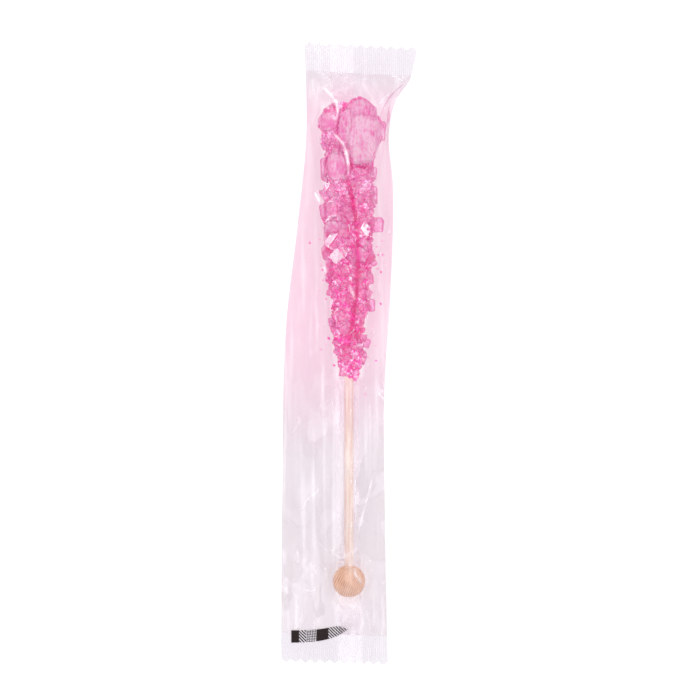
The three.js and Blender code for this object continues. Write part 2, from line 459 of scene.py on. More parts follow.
class Field:
    """A number that changes from place to place: a node's output, and what sums and steps make of it."""

    def __init__(self, socket):
        self.socket = socket

    def maths(self, operation, *others):
        node = add_node(self.socket.id_data, "ShaderNodeMath", {"operation": operation})
        for socket, value in zip(node.inputs, (self, *others)):
            feed(socket, value)
        return Field(node.outputs[0])

    def __add__(self, other):
        return self.maths("ADD", other)

    def __sub__(self, other):
        return self.maths("SUBTRACT", other)

    def __rsub__(self, whole):
        return self * -1 + whole

    def __mul__(self, other):
        return self.maths("MULTIPLY", other)

    def squared(self):
        return self * self

    def sine(self):
        return self.maths("SINE")

    def size(self):
        return self.maths("ABSOLUTE")

    def at_least(self, other):
        return self.maths("MAXIMUM", other)

    def at_most(self, other):
        return self.maths("MINIMUM", other)

    def step(self, low, high, most=1.0):
        """0 below low and most above high, with an eased rise between them."""
        eased = {"interpolation_type": "SMOOTHSTEP"}
        ends = {"From_Min": low, "From_Max": high, "To_Max": most}
        ramp = add_node(self.socket.id_data, "ShaderNodeMapRange", eased, Value=self, **ends)
        return Field(ramp.outputs[0])


def vector_maths(tree, operation, *values):
    node = add_node(tree, "ShaderNodeVectorMath", {"operation": operation})
    for socket, value in zip(node.inputs, values):
        feed(socket, value)
    return node.outputs[0]


print("the helpers for trees of nodes are ready")

# %% [markdown]
# A tree made in a script names its own inputs and outputs first. Chance in it comes from nodes that give
# each point its own number from one seed, so the same crystals grow every time. Every use of the seed
# adds a salt of its own, or else a crystal's size would go with its lean.

# %% Sockets and random numbers
def add_sockets(tree, inputs, outputs):
    """Names a tree's inputs and outputs, given with their kinds, and returns their sockets inside it."""
    for kinds, way in ((inputs, "INPUT"), (outputs, "OUTPUT")):
        for name, kind in kinds.items():
            tree.interface.new_socket(name, in_out=way, socket_type="NodeSocket" + kind)
    return tree.nodes.new("NodeGroupInput").outputs, tree.nodes.new("NodeGroupOutput").inputs


def random_number(tree, low, high, seed, salt):
    """A number for each point from one seed; each use of the seed has its own salt."""
    salted = add_node(tree, "FunctionNodeIntegerMath", {"operation": "ADD"})
    feed(salted.inputs[0], seed)
    feed(salted.inputs[1], salt)
    vector = isinstance(low, tuple)
    kind = {"data_type": "FLOAT_VECTOR" if vector else "FLOAT"}
    value = add_node(tree, "FunctionNodeRandomValue", kind, Seed=salted.outputs[0])
    lowest = 0 if vector else 2
    feed(value.inputs[lowest], low)
    feed(value.inputs[lowest + 1], high)
    return value.outputs[0 if vector else 1]


print("the helpers for sockets and chance are ready")

# %% [markdown]
# The crystals are scattered by Geometry Nodes, which can spread points over a surface at a least
# distance from each other. At each point the tree puts one of the crystals, pointing outwards but
# leaning and turned at random, at a random size. It ends with real mesh and its two materials, one for
# the faces and one for the eased edges, whose deeper colour is painted shade.

# %% The growth tree
DENSEST = 2e6
HALF_TURN = 3.14
SINK_SALT, LEAN_SALT, SPIN_SALT, SIZE_SALT = 5, 11, 17, 23
GROWTH_INPUTS = {
    "Skin": "Geometry", "Kinds": "Collection", "Spacing": "Float", "Smallest": "Float", "Largest": "Float",
    "Lean": "Float", "Least Sink": "Float", "Most Sink": "Float", "Seed": "Int",
    "Finish": "Material", "Edge Finish": "Material",
}


def growth_tree():
    tree = bpy.data.node_groups.new("crystal_growth", "GeometryNodeTree")
    given, result = add_sockets(tree, GROWTH_INPUTS, {"Crystals": "Geometry"})
    seed = given["Seed"]
    spread = add_node(
        tree, "GeometryNodeDistributePointsOnFaces", {"distribute_method": "POISSON"},
        Mesh=given["Skin"], Distance_Min=given["Spacing"], Density_Max=DENSEST, Seed=seed,
    )
    out = spread.outputs["Normal"]
    sink = random_number(tree, given["Least Sink"], given["Most Sink"], seed, SINK_SALT)
    inwards = vector_maths(tree, "MULTIPLY", out, Field(sink) * -1)
    sunk = add_node(tree, "GeometryNodeSetPosition", Geometry=spread.outputs["Points"], Offset=inwards)

    pointing = add_node(tree, "FunctionNodeAlignRotationToVector", {"axis": "Z"}, Vector=out)
    lean = random_number(tree, (-1, -1, 0), (1, 1, 0), seed, LEAN_SALT)
    lean = vector_maths(tree, "MULTIPLY", lean, given["Lean"])
    spin = random_number(tree, (0, 0, -HALF_TURN), (0, 0, HALF_TURN), seed, SPIN_SALT)
    turn = add_node(tree, "FunctionNodeEulerToRotation", Euler=vector_maths(tree, "ADD", lean, spin))
    turned = add_node(tree, "FunctionNodeRotateRotation", {"rotation_space": "LOCAL"})
    feed(turned.inputs[0], pointing.outputs[0])
    feed(turned.inputs[1], turn.outputs[0])

    whole = {"Separate_Children": True, "Reset_Children": True}
    kinds = add_node(tree, "GeometryNodeCollectionInfo", Collection=given["Kinds"], **whole)
    size = random_number(tree, given["Smallest"], given["Largest"], seed, SIZE_SALT)
    grown = add_node(
        tree, "GeometryNodeInstanceOnPoints", Points=sunk.outputs[0], Instance=kinds.outputs[0],
        Pick_Instance=True, Rotation=turned.outputs[0], Scale=size,
    )
    real = add_node(tree, "GeometryNodeRealizeInstances", Geometry=grown.outputs[0])
    finished = add_node(
        tree, "GeometryNodeSetMaterial", Geometry=real.outputs[0], Material=given["Finish"]
    )
    is_edge = add_node(tree, "GeometryNodeInputNamedAttribute", {"data_type": "INT"}, Name="edge")
    edged = add_node(
        tree, "GeometryNodeSetMaterial", Geometry=finished.outputs[0],
        Selection=is_edge.outputs["Attribute"], Material=given["Edge Finish"],
    )
    feed(result[0], edged.outputs[0])
    return tree


crystal_growth = growth_tree()
print("growth tree nodes:", len(crystal_growth.nodes))

# %% [markdown]
# The tree runs as a modifier on a bare skin. Its inputs are set by their identifiers before the skin is
# first looked at, and what comes out is kept as a plain mesh.

# %% Running the growth tree
def grown_crystals(name, skin, **inputs):
    """Runs the growth tree on a skin and returns the crystals as one plain mesh."""
    bed = placed(bpy.data.objects.new(name + "_bed", skin.data.copy()))
    growth = bed.modifiers.new("growth", "NODES")
    growth.node_group = crystal_growth
    sockets = {s.name: s.identifier for s in crystal_growth.interface.items_tree if s.in_out == "INPUT"}
    for label, value in inputs.items():
        growth[sockets[label.replace("_", " ").title()]] = value
    evaluated = bed.evaluated_get(bpy.context.evaluated_depsgraph_get())
    mesh = bpy.data.meshes.new_from_object(evaluated)
    mesh.name = name
    bpy.data.objects.remove(bed)
    print(name, "faces:", len(mesh.polygons))
    return placed(bpy.data.objects.new(name, mesh))


print("inputs of the growth tree:", list(GROWTH_INPUTS))

# %% [markdown]
# Finishes are shader trees over the place on the object. These helpers blend two colours, give the place
# in millimetres, make noise that can be drawn out along the piece, and start a group of nodes that more
# than one finish uses.

# %% Helpers for finishes
def blend(tree, share, first, second):
    mix = add_node(tree, "ShaderNodeMix", {"data_type": "RGBA"}, Factor=share)
    feed(mix.inputs[6], first)
    feed(mix.inputs[7], second)
    return mix.outputs[2]


def place_in(tree):
    """The place on the object, whole in metres, and as x, y and z in millimetres."""
    place = tree.nodes.new("ShaderNodeTexCoord").outputs["Object"]
    parts = add_node(tree, "ShaderNodeSeparateXYZ", Vector=place)
    return place, *(Field(part) * (1 / MM) for part in parts.outputs)


def cloud(tree, place, scale, detail=2.0):
    """Noise from 0 to 1, with scale in cycles a metre along x, y and z."""
    stretched = vector_maths(tree, "MULTIPLY", place, scale)
    texture = add_node(tree, "ShaderNodeTexNoise", Vector=stretched, Scale=1.0, Detail=detail)
    return Field(texture.outputs["Fac"])


def roughen(tree, shader, height, strength, distance):
    bump = add_node(tree, "ShaderNodeBump", Height=height, Strength=strength, Distance=distance * MM)
    set_inputs(shader, Normal=bump.outputs["Normal"])


def shader_group(name, inputs, outputs):
    """An empty group with named inputs and outputs."""
    group = bpy.data.node_groups.new(name, "ShaderNodeTree")
    return group, *add_sockets(group, inputs, outputs)


print("the helpers for finishes are ready")

# %% [markdown]
# Every kind of sugar takes its colour from one group. The candy is palest at its head and deeper down
# the stick, in soft patches, fine specks and thin veins where crystals have grown together. At the head
# fine strokes run lengthwise, and its left side and far end are a little deeper. The dye has gathered in
# a few places and along the rim of the tip, and a deeper line curves down the front.

# %% The sugar's colour
FRONT_LINE_MIDDLE, FRONT_LINE_REACH, FRONT_LINE_BEND = 33, 3.2, 0.0042
TIP_MIDDLE, TIP_BEND = 3.7, 0.115
DEEP_PLACES = [
    (-7.8, 86.4, 1.6, 1), (-4.8, 87, 0.8, 1.2), (0.8, 67.2, 0.8, 1.7), (4.2, 66.3, 2.3, 0.6),
    (-7.4, 38, 1.2, 1.5), (7.8, 34, 1.1, 1.5),
    (3.1, 7.8, 1.3, 2.6), (-6, 15.4, 1.3, 1.9), (0.4, -8.8, 2.2, 0.9),
]
VEIN_CELLS = 430


def veins_between(tree, place, cells):
    """Thin lines between cells, with a number of cells a metre; their way is shaken by a little noise."""
    shake = add_node(tree, "ShaderNodeTexNoise", Vector=place, Scale=cells * 0.9, Detail=2.0)
    shaken = vector_maths(tree, "MULTIPLY_ADD", shake.outputs["Color"], (0.7 / cells,) * 3, place)
    to_edge = {"feature": "DISTANCE_TO_EDGE"}
    texture = add_node(tree, "ShaderNodeTexVoronoi", to_edge, Vector=shaken, Scale=cells)
    return Field(texture.outputs["Distance"]).step(0.12, 0.02)


def gathered_dye(rim, x, y, specks):
    """The rim of the tip and every deep place, each an oval with uneven edges."""
    for middle_x, middle_y, wide, long in DEEP_PLACES:
        aside, away = (x - middle_x) * (1 / wide), (y - middle_y) * (1 / long)
        apart = aside.squared() + away.squared() + specks * 7
        rim = rim.at_least(apart.step(5, 3.8))
    return rim


def sugar_colours():
    group, given, result = shader_group(
        "sugar_colours",
        {"Pale": "Color", "Deep": "Color", "Seam": "Color", "Head Depth": "Float"},
        {"Colour": "Color", "Specks": "Float"},
    )
    place, x, y, z = place_in(group)
    specks = cloud(group, place, (1200, 800, 1200), 4)
    front_line_x = FRONT_LINE_REACH - (y - FRONT_LINE_MIDDLE).squared() * FRONT_LINE_BEND
    front_line = (x - front_line_x).size().step(1.2, 0.2, 0.95) * y.step(-2, 6) * y.step(66, 56) * z.step(9, 12)
    tip_line = y + (x - TIP_MIDDLE).squared() * TIP_BEND + (specks - 0.5) * 3
    rim = tip_line.step(89.6, 90.8) * x.step(9.5, 5) * x.step(-3, -1.5)
    front_line = front_line.at_least(gathered_dye(rim, x, y, specks) * 0.85)

    low_down = y.step(74, 26)
    patches = cloud(group, place, (320, 240, 320), 4).step(0.4, 0.62, 0.6)
    mottled = (patches + specks.step(0.46, 0.58, 0.6) - 0.36) * (low_down * 0.5 + 0.6)
    strokes = cloud(group, place, (1500, 260, 1500), 3).step(0.5, 0.64, 0.45) * y.step(52, 68)
    left_side = x.step(0, -1.5, 0.44) * y.step(57, 62)
    at_head = left_side.at_least(y.step(83.2, 84.8, 0.32)) * given["Head Depth"]
    veins = veins_between(group, place, VEIN_CELLS) * (low_down * 0.75 + 0.15)
    share = (mottled + strokes + at_head + veins + low_down * 0.17).at_least(0).at_most(1)
    by_place = blend(group, share, given["Pale"], given["Deep"])
    feed(result["Colour"], blend(group, front_line, by_place, given["Seam"]))
    feed(result["Specks"], specks)
    return group


sugar_group = sugar_colours()
print("sugar group nodes:", len(sugar_group.nodes))

# %% [markdown]
# Clear crystals need a finish of their own. Rock sugar bends light about as strongly as glass does, and
# the dye in it takes out green first, so thick places and edges look magenta and thin ones pale pink. The
# dense sugar under the crystals lets light in a little way, so it scatters it below its skin. Every sugar
# finish also glows a little pink, a painted glow that stands in for light passing through the candy, and
# the crystals' eased edges get a deeper colour, a painted shade for the dark lines that refraction draws.

# %% Sugar finishes
DYE = (0.96, 0.12, 0.5, 1)
DYE_DENSITY = 45
FRONT_LINE_COLOUR = (0.84, 0.01, 0.34, 1)
# The two glow colours are a painted glow: the sugar shines a little pink of itself, standing in for light
# passing through the candy.
PAINTED_CRYSTAL_GLOW = (1, 0.3, 0.68, 1)
PAINTED_DENSE_GLOW = (1, 0.2, 0.6, 1)
SUGAR_BENDING = 1.54
LAMP_TINT = (0.98, 0.86, 0.93, 1)


def clear_for_lamps(tree, shader, tint):
    """Lets a lamp's light straight through the shader, tinted, so that what is inside isn't in the dark."""
    path = tree.nodes.new("ShaderNodeLightPath")
    open_way = add_node(tree, "ShaderNodeBsdfTransparent", Color=tint)
    either = tree.nodes.new("ShaderNodeMixShader")
    choice = (path.outputs["Is Shadow Ray"], shader.outputs[0], open_way.outputs[0])
    for socket, value in zip(either.inputs, choice):
        feed(socket, value)
    set_inputs(tree.nodes["Material Output"], Surface=either.outputs[0])


def sugar_coloured(tree, shader, pale, deep, head_depth=0.15):
    """Colours a shader by the group, and returns the specks for its bump."""
    dyes = {"Pale": (*pale, 1), "Deep": (*deep, 1), "Seam": FRONT_LINE_COLOUR, "Head_Depth": head_depth}
    colours = add_node(tree, "ShaderNodeGroup", {"node_tree": sugar_group}, **dyes)
    set_inputs(shader, Base_Color=colours.outputs["Colour"])
    return colours.outputs["Specks"]


def clear_sugar(name, pale, deep, glow, roughness, clearness=0.8, waviness=0.2, head_depth=0.15):
    # Its glow is painted light, standing in for light passing through the clear sugar.
    material, tree, shader = plain_material(
        name, pale, roughness, Transmission_Weight=clearness, IOR=SUGAR_BENDING,
        Emission_Color=PAINTED_CRYSTAL_GLOW, Emission_Strength=glow,
    )
    specks = sugar_coloured(tree, shader, pale, deep, head_depth)
    roughen(tree, shader, specks, waviness, 0.4)
    dye = add_node(tree, "ShaderNodeVolumeAbsorption", Color=DYE, Density=DYE_DENSITY)
    set_inputs(tree.nodes["Material Output"], Volume=dye.outputs[0])
    clear_for_lamps(tree, shader, LAMP_TINT)
    return material


def dense_sugar():
    pale, deep = (0.87, 0.82, 0.9), (0.82, 0.02, 0.35)
    # Its glow is painted light, standing in for light passing through the dense sugar.
    material, tree, shader = plain_material(
        "dense_sugar", pale, 0.28, Subsurface_Weight=0.5, Subsurface_Radius=(1, 0.35, 0.6),
        Subsurface_Scale=1.2 * MM, Emission_Color=PAINTED_DENSE_GLOW, Emission_Strength=0.17,
    )
    roughen(tree, shader, sugar_coloured(tree, shader, pale, deep), 0.8, 0.5)
    return material


# The deeper colours of the edge and rim finishes are painted shade for the dark lines refraction draws at a
# crystal's edges; the glow in each look is painted light.
crystal_looks = {"glow": 0.04, "roughness": 0.06}
edge_shade_looks = {"glow": 0.06, "roughness": 0.12}
face_looks = {"glow": 0.03, "roughness": 0.3, "clearness": 0.4, "waviness": 0.6, "head_depth": 1.0}
block_finish = clear_sugar("clear_sugar", (0.95, 0.88, 0.96), (0.93, 0.38, 0.72), **crystal_looks)
edge_finish = clear_sugar("sugar_edges_painted_shade", (0.9, 0.4, 0.68), (0.88, 0.01, 0.38), **edge_shade_looks)
face_finish = clear_sugar("sugar_faces", (0.82, 0.67, 0.76), (0.77, 0.16, 0.46), **face_looks)
face_rim_shade_finish = clear_sugar("sugar_face_rims_painted_shade", (0.82, 0.56, 0.71), (0.77, 0.12, 0.42), **face_looks)
grain_finish = dense_sugar()
sugar_mass.data.materials.append(grain_finish)
print("sugar finishes:", [m.name for m in (block_finish, edge_finish, face_finish, grain_finish)])

# %% [markdown]
# Three sizes of crystal grow on the candy: blocks as long as 6 mm, smaller blocks between them, and
# grains in the gaps. Each layer grows on the outline taken inwards by about half a crystal.

# %% Growing the crystals
SKIN_STEP = 1.5
SKIN_SIDES = 36
LEAST_SINK, MOST_SINK = -0.3, 0.6
LAYERS = {
    "sugar_blocks": (block_kinds, block_finish, (2.6, 0, 86.5), (4.6, 3.8, 6.4), 0.5, 3),
    "small_sugar_blocks": (small_block_kinds, block_finish, (1.8, -7.5, 88), (2.3, 1.6, 3.4), 0.8, 8),
    "sugar_grains": (grain_kinds, grain_finish, (1.8, -8.7, 89.5), (1.3, 1.0, 1.9), 1.2, 5),
}
crystal_layers = []
for name, (kinds, finish, (inset, lowest, highest), sizes, lean, seed) in LAYERS.items():
    skin = candy_loft("candy_skin", np.arange(lowest, highest, SKIN_STEP), inset, SKIN_SIDES)
    spacing, smallest, largest = (size * MM for size in sizes)
    crystal_layers.append(grown_crystals(
        name, skin, kinds=kinds, finish=finish, edge_finish=edge_finish,
        spacing=spacing, smallest=smallest, largest=largest,
        lean=lean, least_sink=LEAST_SINK * MM, most_sink=MOST_SINK * MM, seed=seed,
    ))
    bpy.data.objects.remove(skin)

# %% [markdown]
# Some crystals are placed one by one, because they make the outline and the look of this candy: the wide
# smooth faces of the head, the curved tip over the notch, and clear blocks that stand out at the sides.
# Each face has a flat top, an uneven girdle with the outline that the picture shows and a small
# underside, so that it doesn't look like a coin from the side. The blocks are slanted and lose two corners.

# %% Crystals placed one by one
FACE_OUTLINES = {
    "head_face": ([(-1.4, 83.4), (4.4, 85.8), (9.9, 84), (11.6, 80.2), (11.2, 76.1), (10, 72.4), (8, 67.8),
                   (0.9, 66.9), (-0.9, 72.4), (-1.6, 77)], 5, -8),
    "tip": ([(-1.8, 87.6), (0.8, 90.4), (3.7, 91.6), (6.6, 90.2), (9.9, 87.4), (10.2, 84), (5, 82.8),
             (0, 85)], 5.4, -6),
    "left_lobe": ([(-10.6, 82.2), (-8.9, 86), (-5.7, 88), (-2.9, 87.2), (-1.9, 83.5), (-3.4, 79),
                   (-8.7, 78.6)], 5, 22),
    "left_face": ([(-7.6, 69.5), (-5.4, 72.6), (-2.1, 73), (-0.6, 69.5), (0, 65.2), (-1.4, 61.4), (-5, 61),
                   (-7.2, 62.9)], 4.4, 16),
    "middle_face": ([(-8.9, 43.4), (-8.2, 47.4), (-1.5, 47.2), (-1.8, 43)], 3, 18),
    "low_face": ([(1.5, 33.5), (1.9, 38.2), (5.6, 39), (6.8, 34.8), (5.2, 32.2)], 3, -20),
    "notch_face": ([(-4, 76.5), (-3.4, 83), (-1.8, 86.6), (0.8, 87), (1.6, 83.5), (0.6, 78), (-0.4, 73.6),
                    (-2.4, 73)], 4.4, 4),
}
SIDE_BLOCKS = {
    "right_plate": ((11.9, 79.5), (2.4, 7.5, 4), (-3, 0)),
    "left_sliver": ((-8.7, 66), (2.6, 9, 4), (2, 10)),
    "right_lump": ((8.6, 64.5), (2.8, 5, 3), (-8, 0)),
    "right_band": ((8.5, 56.5), (3.2, 7.5, 3.6), (0, -8)),
    "clear_block": ((10, 46.2), (4.4, 6, 4), (-5, -18)),
    "left_block": ((-8.8, 51), (2.8, 5.6, 3.4), (8, 20)),
    "right_wedge": ((8.6, 33), (2.4, 3.6, 2.4), (30, 0)),
    "right_oval": ((7.1, 27), (3, 4.6, 3), (4, -18)),
    "right_crescent": ((8, 17.5), (2.6, 5, 2.8), (-2, -8)),
    "left_lump": ((-6.2, 11.5), (2.4, 3.8, 2.6), (5, 0)),
    "low_right": ((6.4, 4), (2.6, 3.6, 2.6), (-20, 0)),
    "low_middle": ((5.2, 0), (2.4, 3, 2.4), (10, 0)),
}
print("wide faces and side blocks:", len(FACE_OUTLINES), len(SIDE_BLOCKS))

# %% [markdown]
# A face or a block is the tight skin round its corners. It is turned to its place on the candy, where it
# lies level with the sugar round it, and its eased edges get a deeper colour than its flats: painted shade
# for the dark lines that refraction draws at a crystal's edges.

# %% Making and placing them
BLOCK_EASE = 0.28
BLOCK_CUT = 0.55
FACE_EASE = 0.15
FACE_TOP = 0.88
FACE_FOOT = 0.7
FACE_SEED = 6
SKIN_DEPTH = 0.8
CRYSTAL_SINK = 0.4


def slanted_block(width, length, depth):
    """Corners of a block with a slant across its ends and two corners cut, its upper face the smaller."""
    w, l = width / 2, length / 2
    cut = min(w, l) * BLOCK_CUT
    edge = [(-w, cut - l), (cut - w, -l), (w, -l * 0.86), (w, l - cut), (w - cut, l), (-w, l * 0.82)]
    upper = [Vector((x * 0.88, y * 0.92, depth / 2)) for x, y in edge]
    return upper + [Vector((x, y, -depth / 2)) for x, y in edge]


def face_corners(edge, depth, draw):
    """Corners of a wide face: its flat top, an uneven girdle with the whole outline, a smaller underside."""
    corners = []
    for x, y in edge:
        top = FACE_TOP + draw.uniform(-0.03, 0.03)
        corners.append(Vector((x * top, y * top, depth / 2)))
        corners.append(Vector((x, y, depth * draw.uniform(-0.1, 0.32))))
        corners.append(Vector((x * FACE_FOOT, y * FACE_FOOT, -depth / 2)))
    return corners


def height_on_candy(x, y, depth):
    """Where a crystal's middle lies so that its upper face is level with the candy's own surface."""
    middle, half = candy_section(y, SKIN_DEPTH)
    dome = math.sqrt(max(half ** 2 - (x - middle) ** 2, 0)) * DEPTH_SHARE
    return axis_height(y) + max(dome - depth * CRYSTAL_SINK, 0)


def placed_crystal(name, corners, place, depth, turn, tilt, finish, rim_shade_finish, ease):
    """A crystal from its corners, turned and tilted in degrees, with its two finishes."""
    mesh = hull_mesh(name, corners, ease)
    x, y = place
    spin = Euler((0, math.radians(-tilt), math.radians(turn))).to_matrix().to_4x4()
    mesh.transform(Matrix.Scale(MM, 4) @ Matrix.Translation((x, y, height_on_candy(x, y, depth))) @ spin)
    mesh.materials.append(finish)
    mesh.materials.append(rim_shade_finish)
    for face in mesh.polygons:
        face.material_index = mesh.attributes["edge"].data[face.index].value
    return placed(bpy.data.objects.new(name, mesh))


placed_crystals = []
draw = random.Random(FACE_SEED)
face_look = (face_finish, face_rim_shade_finish, FACE_EASE)
block_look = (block_finish, edge_finish, BLOCK_EASE)
for name, (outline, depth, tilt) in FACE_OUTLINES.items():
    middle = np.mean(outline, axis=0)
    corners = face_corners(np.array(outline) - middle, depth, draw)
    placed_crystals.append(placed_crystal(name, corners, middle, depth, 0, tilt, *face_look))
for name, (place, size, (turn, tilt)) in SIDE_BLOCKS.items():
    corners = slanted_block(*size)
    placed_crystals.append(placed_crystal(name, corners, place, size[2], turn, tilt, *block_look))
print("crystals placed one by one:", len(placed_crystals))

# %% [markdown]
# A wide face grew over what lay under it. So the scattered crystals are pressed below each face, and
# all of them stay above the lower film that the candy lies on.

# %% Pressing the crystals back
CANDY_FLOOR = 0.75
FACE_COVER = 1.0
FACE_RIM = 0.6


def mesh_points(piece):
    """The points of a piece in millimetres, one in a row."""
    points = np.empty(len(piece.data.vertices) * 3)
    piece.data.vertices.foreach_get("co", points)
    return points.reshape(-1, 3) / MM


def set_heights(piece, points, heights):
    points[:, 2] = heights
    piece.data.vertices.foreach_set("co", (points * MM).ravel())
    piece.data.update()


def below_the_faces(points):
    """The heights of some points, pressed under every wide face that they lie beneath."""
    x, y, heights = points.T
    for outline, depth, tilt in FACE_OUTLINES.values():
        corners = np.array(outline)
        middle = corners.mean(axis=0)
        inside = np.ones(len(points), bool)
        for corner, side in zip(corners, np.roll(corners, -1, 0) - corners):
            out = side[0] * (y - corner[1]) - side[1] * (x - corner[0])
            inside &= out < -FACE_RIM * np.hypot(*side)
        face_height = height_on_candy(*middle, depth) + depth / 2
        highest = face_height + (x - middle[0]) * math.tan(math.radians(tilt)) - FACE_COVER
        heights = np.where(inside, np.minimum(heights, highest), heights)
    return heights


for layer in crystal_layers:
    points = mesh_points(layer)
    set_heights(layer, points, below_the_faces(points))
for piece in crystal_layers + placed_crystals + [sugar_mass]:
    points = mesh_points(piece)
    set_heights(piece, points, np.maximum(points[:, 2], CANDY_FLOOR))
crystal_layers += placed_crystals
print("lowest sugar, mm:", min(mesh_points(piece)[:, 2].min() for piece in crystal_layers).round(2))

# %% [markdown]
# The film has to clear every crystal. Seen from the axis, the reach of what lies in the bag is a map:
# how far out the sugar, the stick or the bead goes at each place along the bag and each angle round it.

# %% How far the filling reaches
REACH_STEP = 0.8
REACH_ANGLES = 90
LAYER_STEPS = (8, 3, 1)
PLACED_STEPS = 16
SPREADS, SPREAD_KEPT = 4, 0.985
EASINGS, EASED_LEAST = 3, 1.01
NEIGHBOURS = ((1, 0), (-1, 0), (0, 1), (0, -1))
reach_ys = np.arange(BAG_LOW.y / MM, BAG_HIGH.y / MM + REACH_STEP, REACH_STEP)


def round_the_axis(x, y, z):
    """How far from the sloping axis places are, and how far along and round the map of reaches."""
    z = z - axis_height(y)
    row = (y - reach_ys[0]) / REACH_STEP
    column = np.arctan2(z, x) / (2 * np.pi) * REACH_ANGLES
    return np.hypot(x, z), row, column


def reach_of(points):
    """The greatest distance from the axis of a set of points, by place along and angle."""
    reach = np.zeros((len(reach_ys), REACH_ANGLES))
    distance, row, column = round_the_axis(*points.T)
    row = np.clip(row.round().astype(int), 0, len(reach_ys) - 1)
    np.maximum.at(reach, (row, column.round().astype(int) % REACH_ANGLES), distance)
    return reach


def surface_points(piece, steps):
    """Points spread over every face of a piece, so that a wide face counts too."""
    piece.data.calc_loop_triangles()
    corners = np.empty(len(piece.data.loop_triangles) * 3, int)
    piece.data.loop_triangles.foreach_get("vertices", corners)
    a, b, c = (mesh_points(piece)[corners.reshape(-1, 3)[:, k]] for k in range(3))
    shares = [(i / steps, j / steps) for i in range(steps + 1) for j in range(steps + 1 - i)]
    return np.concatenate([a + (b - a) * u + (c - a) * v for u, v in shares])


fineness = [(piece, 1) for piece in (stick, bead, sugar_mass)]
fineness += list(zip(crystal_layers, LAYER_STEPS))
fineness += [(piece, PLACED_STEPS) for piece in placed_crystals]
tight_reach = np.max([reach_of(surface_points(piece, steps)) for piece, steps in fineness], axis=0)
filling_reach = tight_reach.copy()
for _ in range(SPREADS):
    for way in NEIGHBOURS:
        filling_reach = np.maximum(filling_reach, np.roll(filling_reach, way, (0, 1)) * SPREAD_KEPT)
for _ in range(EASINGS):
    around = sum(np.roll(filling_reach, way, (0, 1)) for way in NEIGHBOURS)
    filling_reach = np.maximum(tight_reach * EASED_LEAST, filling_reach / 2 + around / 8)
print("filling reach, mm:", round(filling_reach.max(), 2))

# %% [markdown]
# The film is a tube of flat width 39 mm, too stiff to stretch and too thin to resist a fold, and its
# wrinkles are what is left when such a tube closes round a lumpy filling. So the tube is laid out as a
# grid at its true size, and relaxed: again and again each link is brought back to its own length, each
# bend is eased, and the film is kept off the filling, off the table and off itself.

# %% The film's grid
BAG_LENGTH = 222
SEAL_LENGTH = 10.6
HEAD_SEAL_LINE = BAG_LENGTH / 2 - SEAL_LENGTH
FOOT_SEAL_LINE = -HEAD_SEAL_LINE
HEAD_SEAL_HEIGHT, HEAD_SEAL_SLANT = 6.4, -0.05
FOOT_SEAL_HEIGHT, FOOT_SEAL_SLANT = 2.6, -0.027
FLAT_WIDTH = 39.0
FILM_ROWS = 232
FILM_AROUND = 108
FILM_SLACK = 1.011
FILM_GAP = 0.3
TABLE_GAP = 0.4
WALL_GAP = 0.16
NEAR_ROWS = 8
LEAST_FILLING = 2.6
OVAL_SHARE = 5.87
OVAL_STEPS = 1441
LEFT_FOLD = [(-111, -24.4), (-50, -23.8), (12, -22.1), (43, -18.4), (78, -15.1), (111, -15.9)]
RIGHT_FOLD = [
    (-111, 13.9), (-60, 12.9), (-8, 12.8), (22, 14.7), (62, 15.5), (81, 14.3), (92, 16.8), (99, 21.6),
    (111, 24.4),
]


def eased(value, low, high):
    t = np.clip((value - low) / (high - low), 0, 1)
    return t * t * (3 - 2 * t)


def to_seal(y):
    return min(HEAD_SEAL_LINE - y, y - FOOT_SEAL_LINE)


def film_height(y):
    """Half the height of the bag at y before it settles: over the filling, and flat at the seals."""
    k = int(round((y - reach_ys[0]) / REACH_STEP))
    near = filling_reach[max(0, k - NEAR_ROWS): k + NEAR_ROWS + 1].max()
    return (max(near, LEAST_FILLING) + 0.5) * float(eased(to_seal(y), 0, 22)) + 0.02


def film_start():
    """The tube as an oval of the true length round at each row, from the foot seal to the head seal."""
    grid = np.zeros((FILM_ROWS, FILM_AROUND, 3))
    for j, y in enumerate(np.linspace(FOOT_SEAL_LINE, HEAD_SEAL_LINE, FILM_ROWS)):
        high = film_height(y)
        half = math.sqrt(max((FLAT_WIDTH ** 2 - OVAL_SHARE * high ** 2), 100)) / 2
        middle = (along(LEFT_FOLD, y) + along(RIGHT_FOLD, y)) / 2
        height = HEAD_SEAL_HEIGHT if y > 0 else FOOT_SEAL_HEIGHT
        slant = HEAD_SEAL_SLANT if y > 0 else FOOT_SEAL_SLANT
        open_share = float(eased(to_seal(y), 0, 30))
        centre = height * (1 - open_share) + max(axis_height(y), high + TABLE_GAP) * open_share
        turn = np.linspace(0, 2 * np.pi, OVAL_STEPS)
        oval = np.stack([-half * np.cos(turn), high * np.sin(turn)])
        walked = np.concatenate([[0], np.cumsum(np.hypot(*np.diff(oval)))])
        at = np.linspace(0, walked[-1], FILM_AROUND, endpoint=False)
        slant *= 1 - float(eased(to_seal(y), 0, 12))
        x = np.interp(at, walked, oval[0])
        grid[j, :, 0] = middle + x
        grid[j, :, 1] = y + slant * x
        grid[j, :, 2] = centre + np.interp(at, walked, oval[1])
    return grid


film_grid = film_start()
print("film grid:", film_grid.shape)

# %% [markdown]
# One pass over the grid handles links that share no point, so whole rows move at once: first every
# second link across, then the others, and the same along and on both diagonals.

# %% The film's links and bends
FILM_STIFFNESS = 0.16
CRUSH_SHARE = 0.4
LINK_ACROSS = 2 * FLAT_WIDTH / FILM_AROUND
LINK_ALONG = (HEAD_SEAL_LINE - FOOT_SEAL_LINE) * FILM_SLACK / (FILM_ROWS - 1)


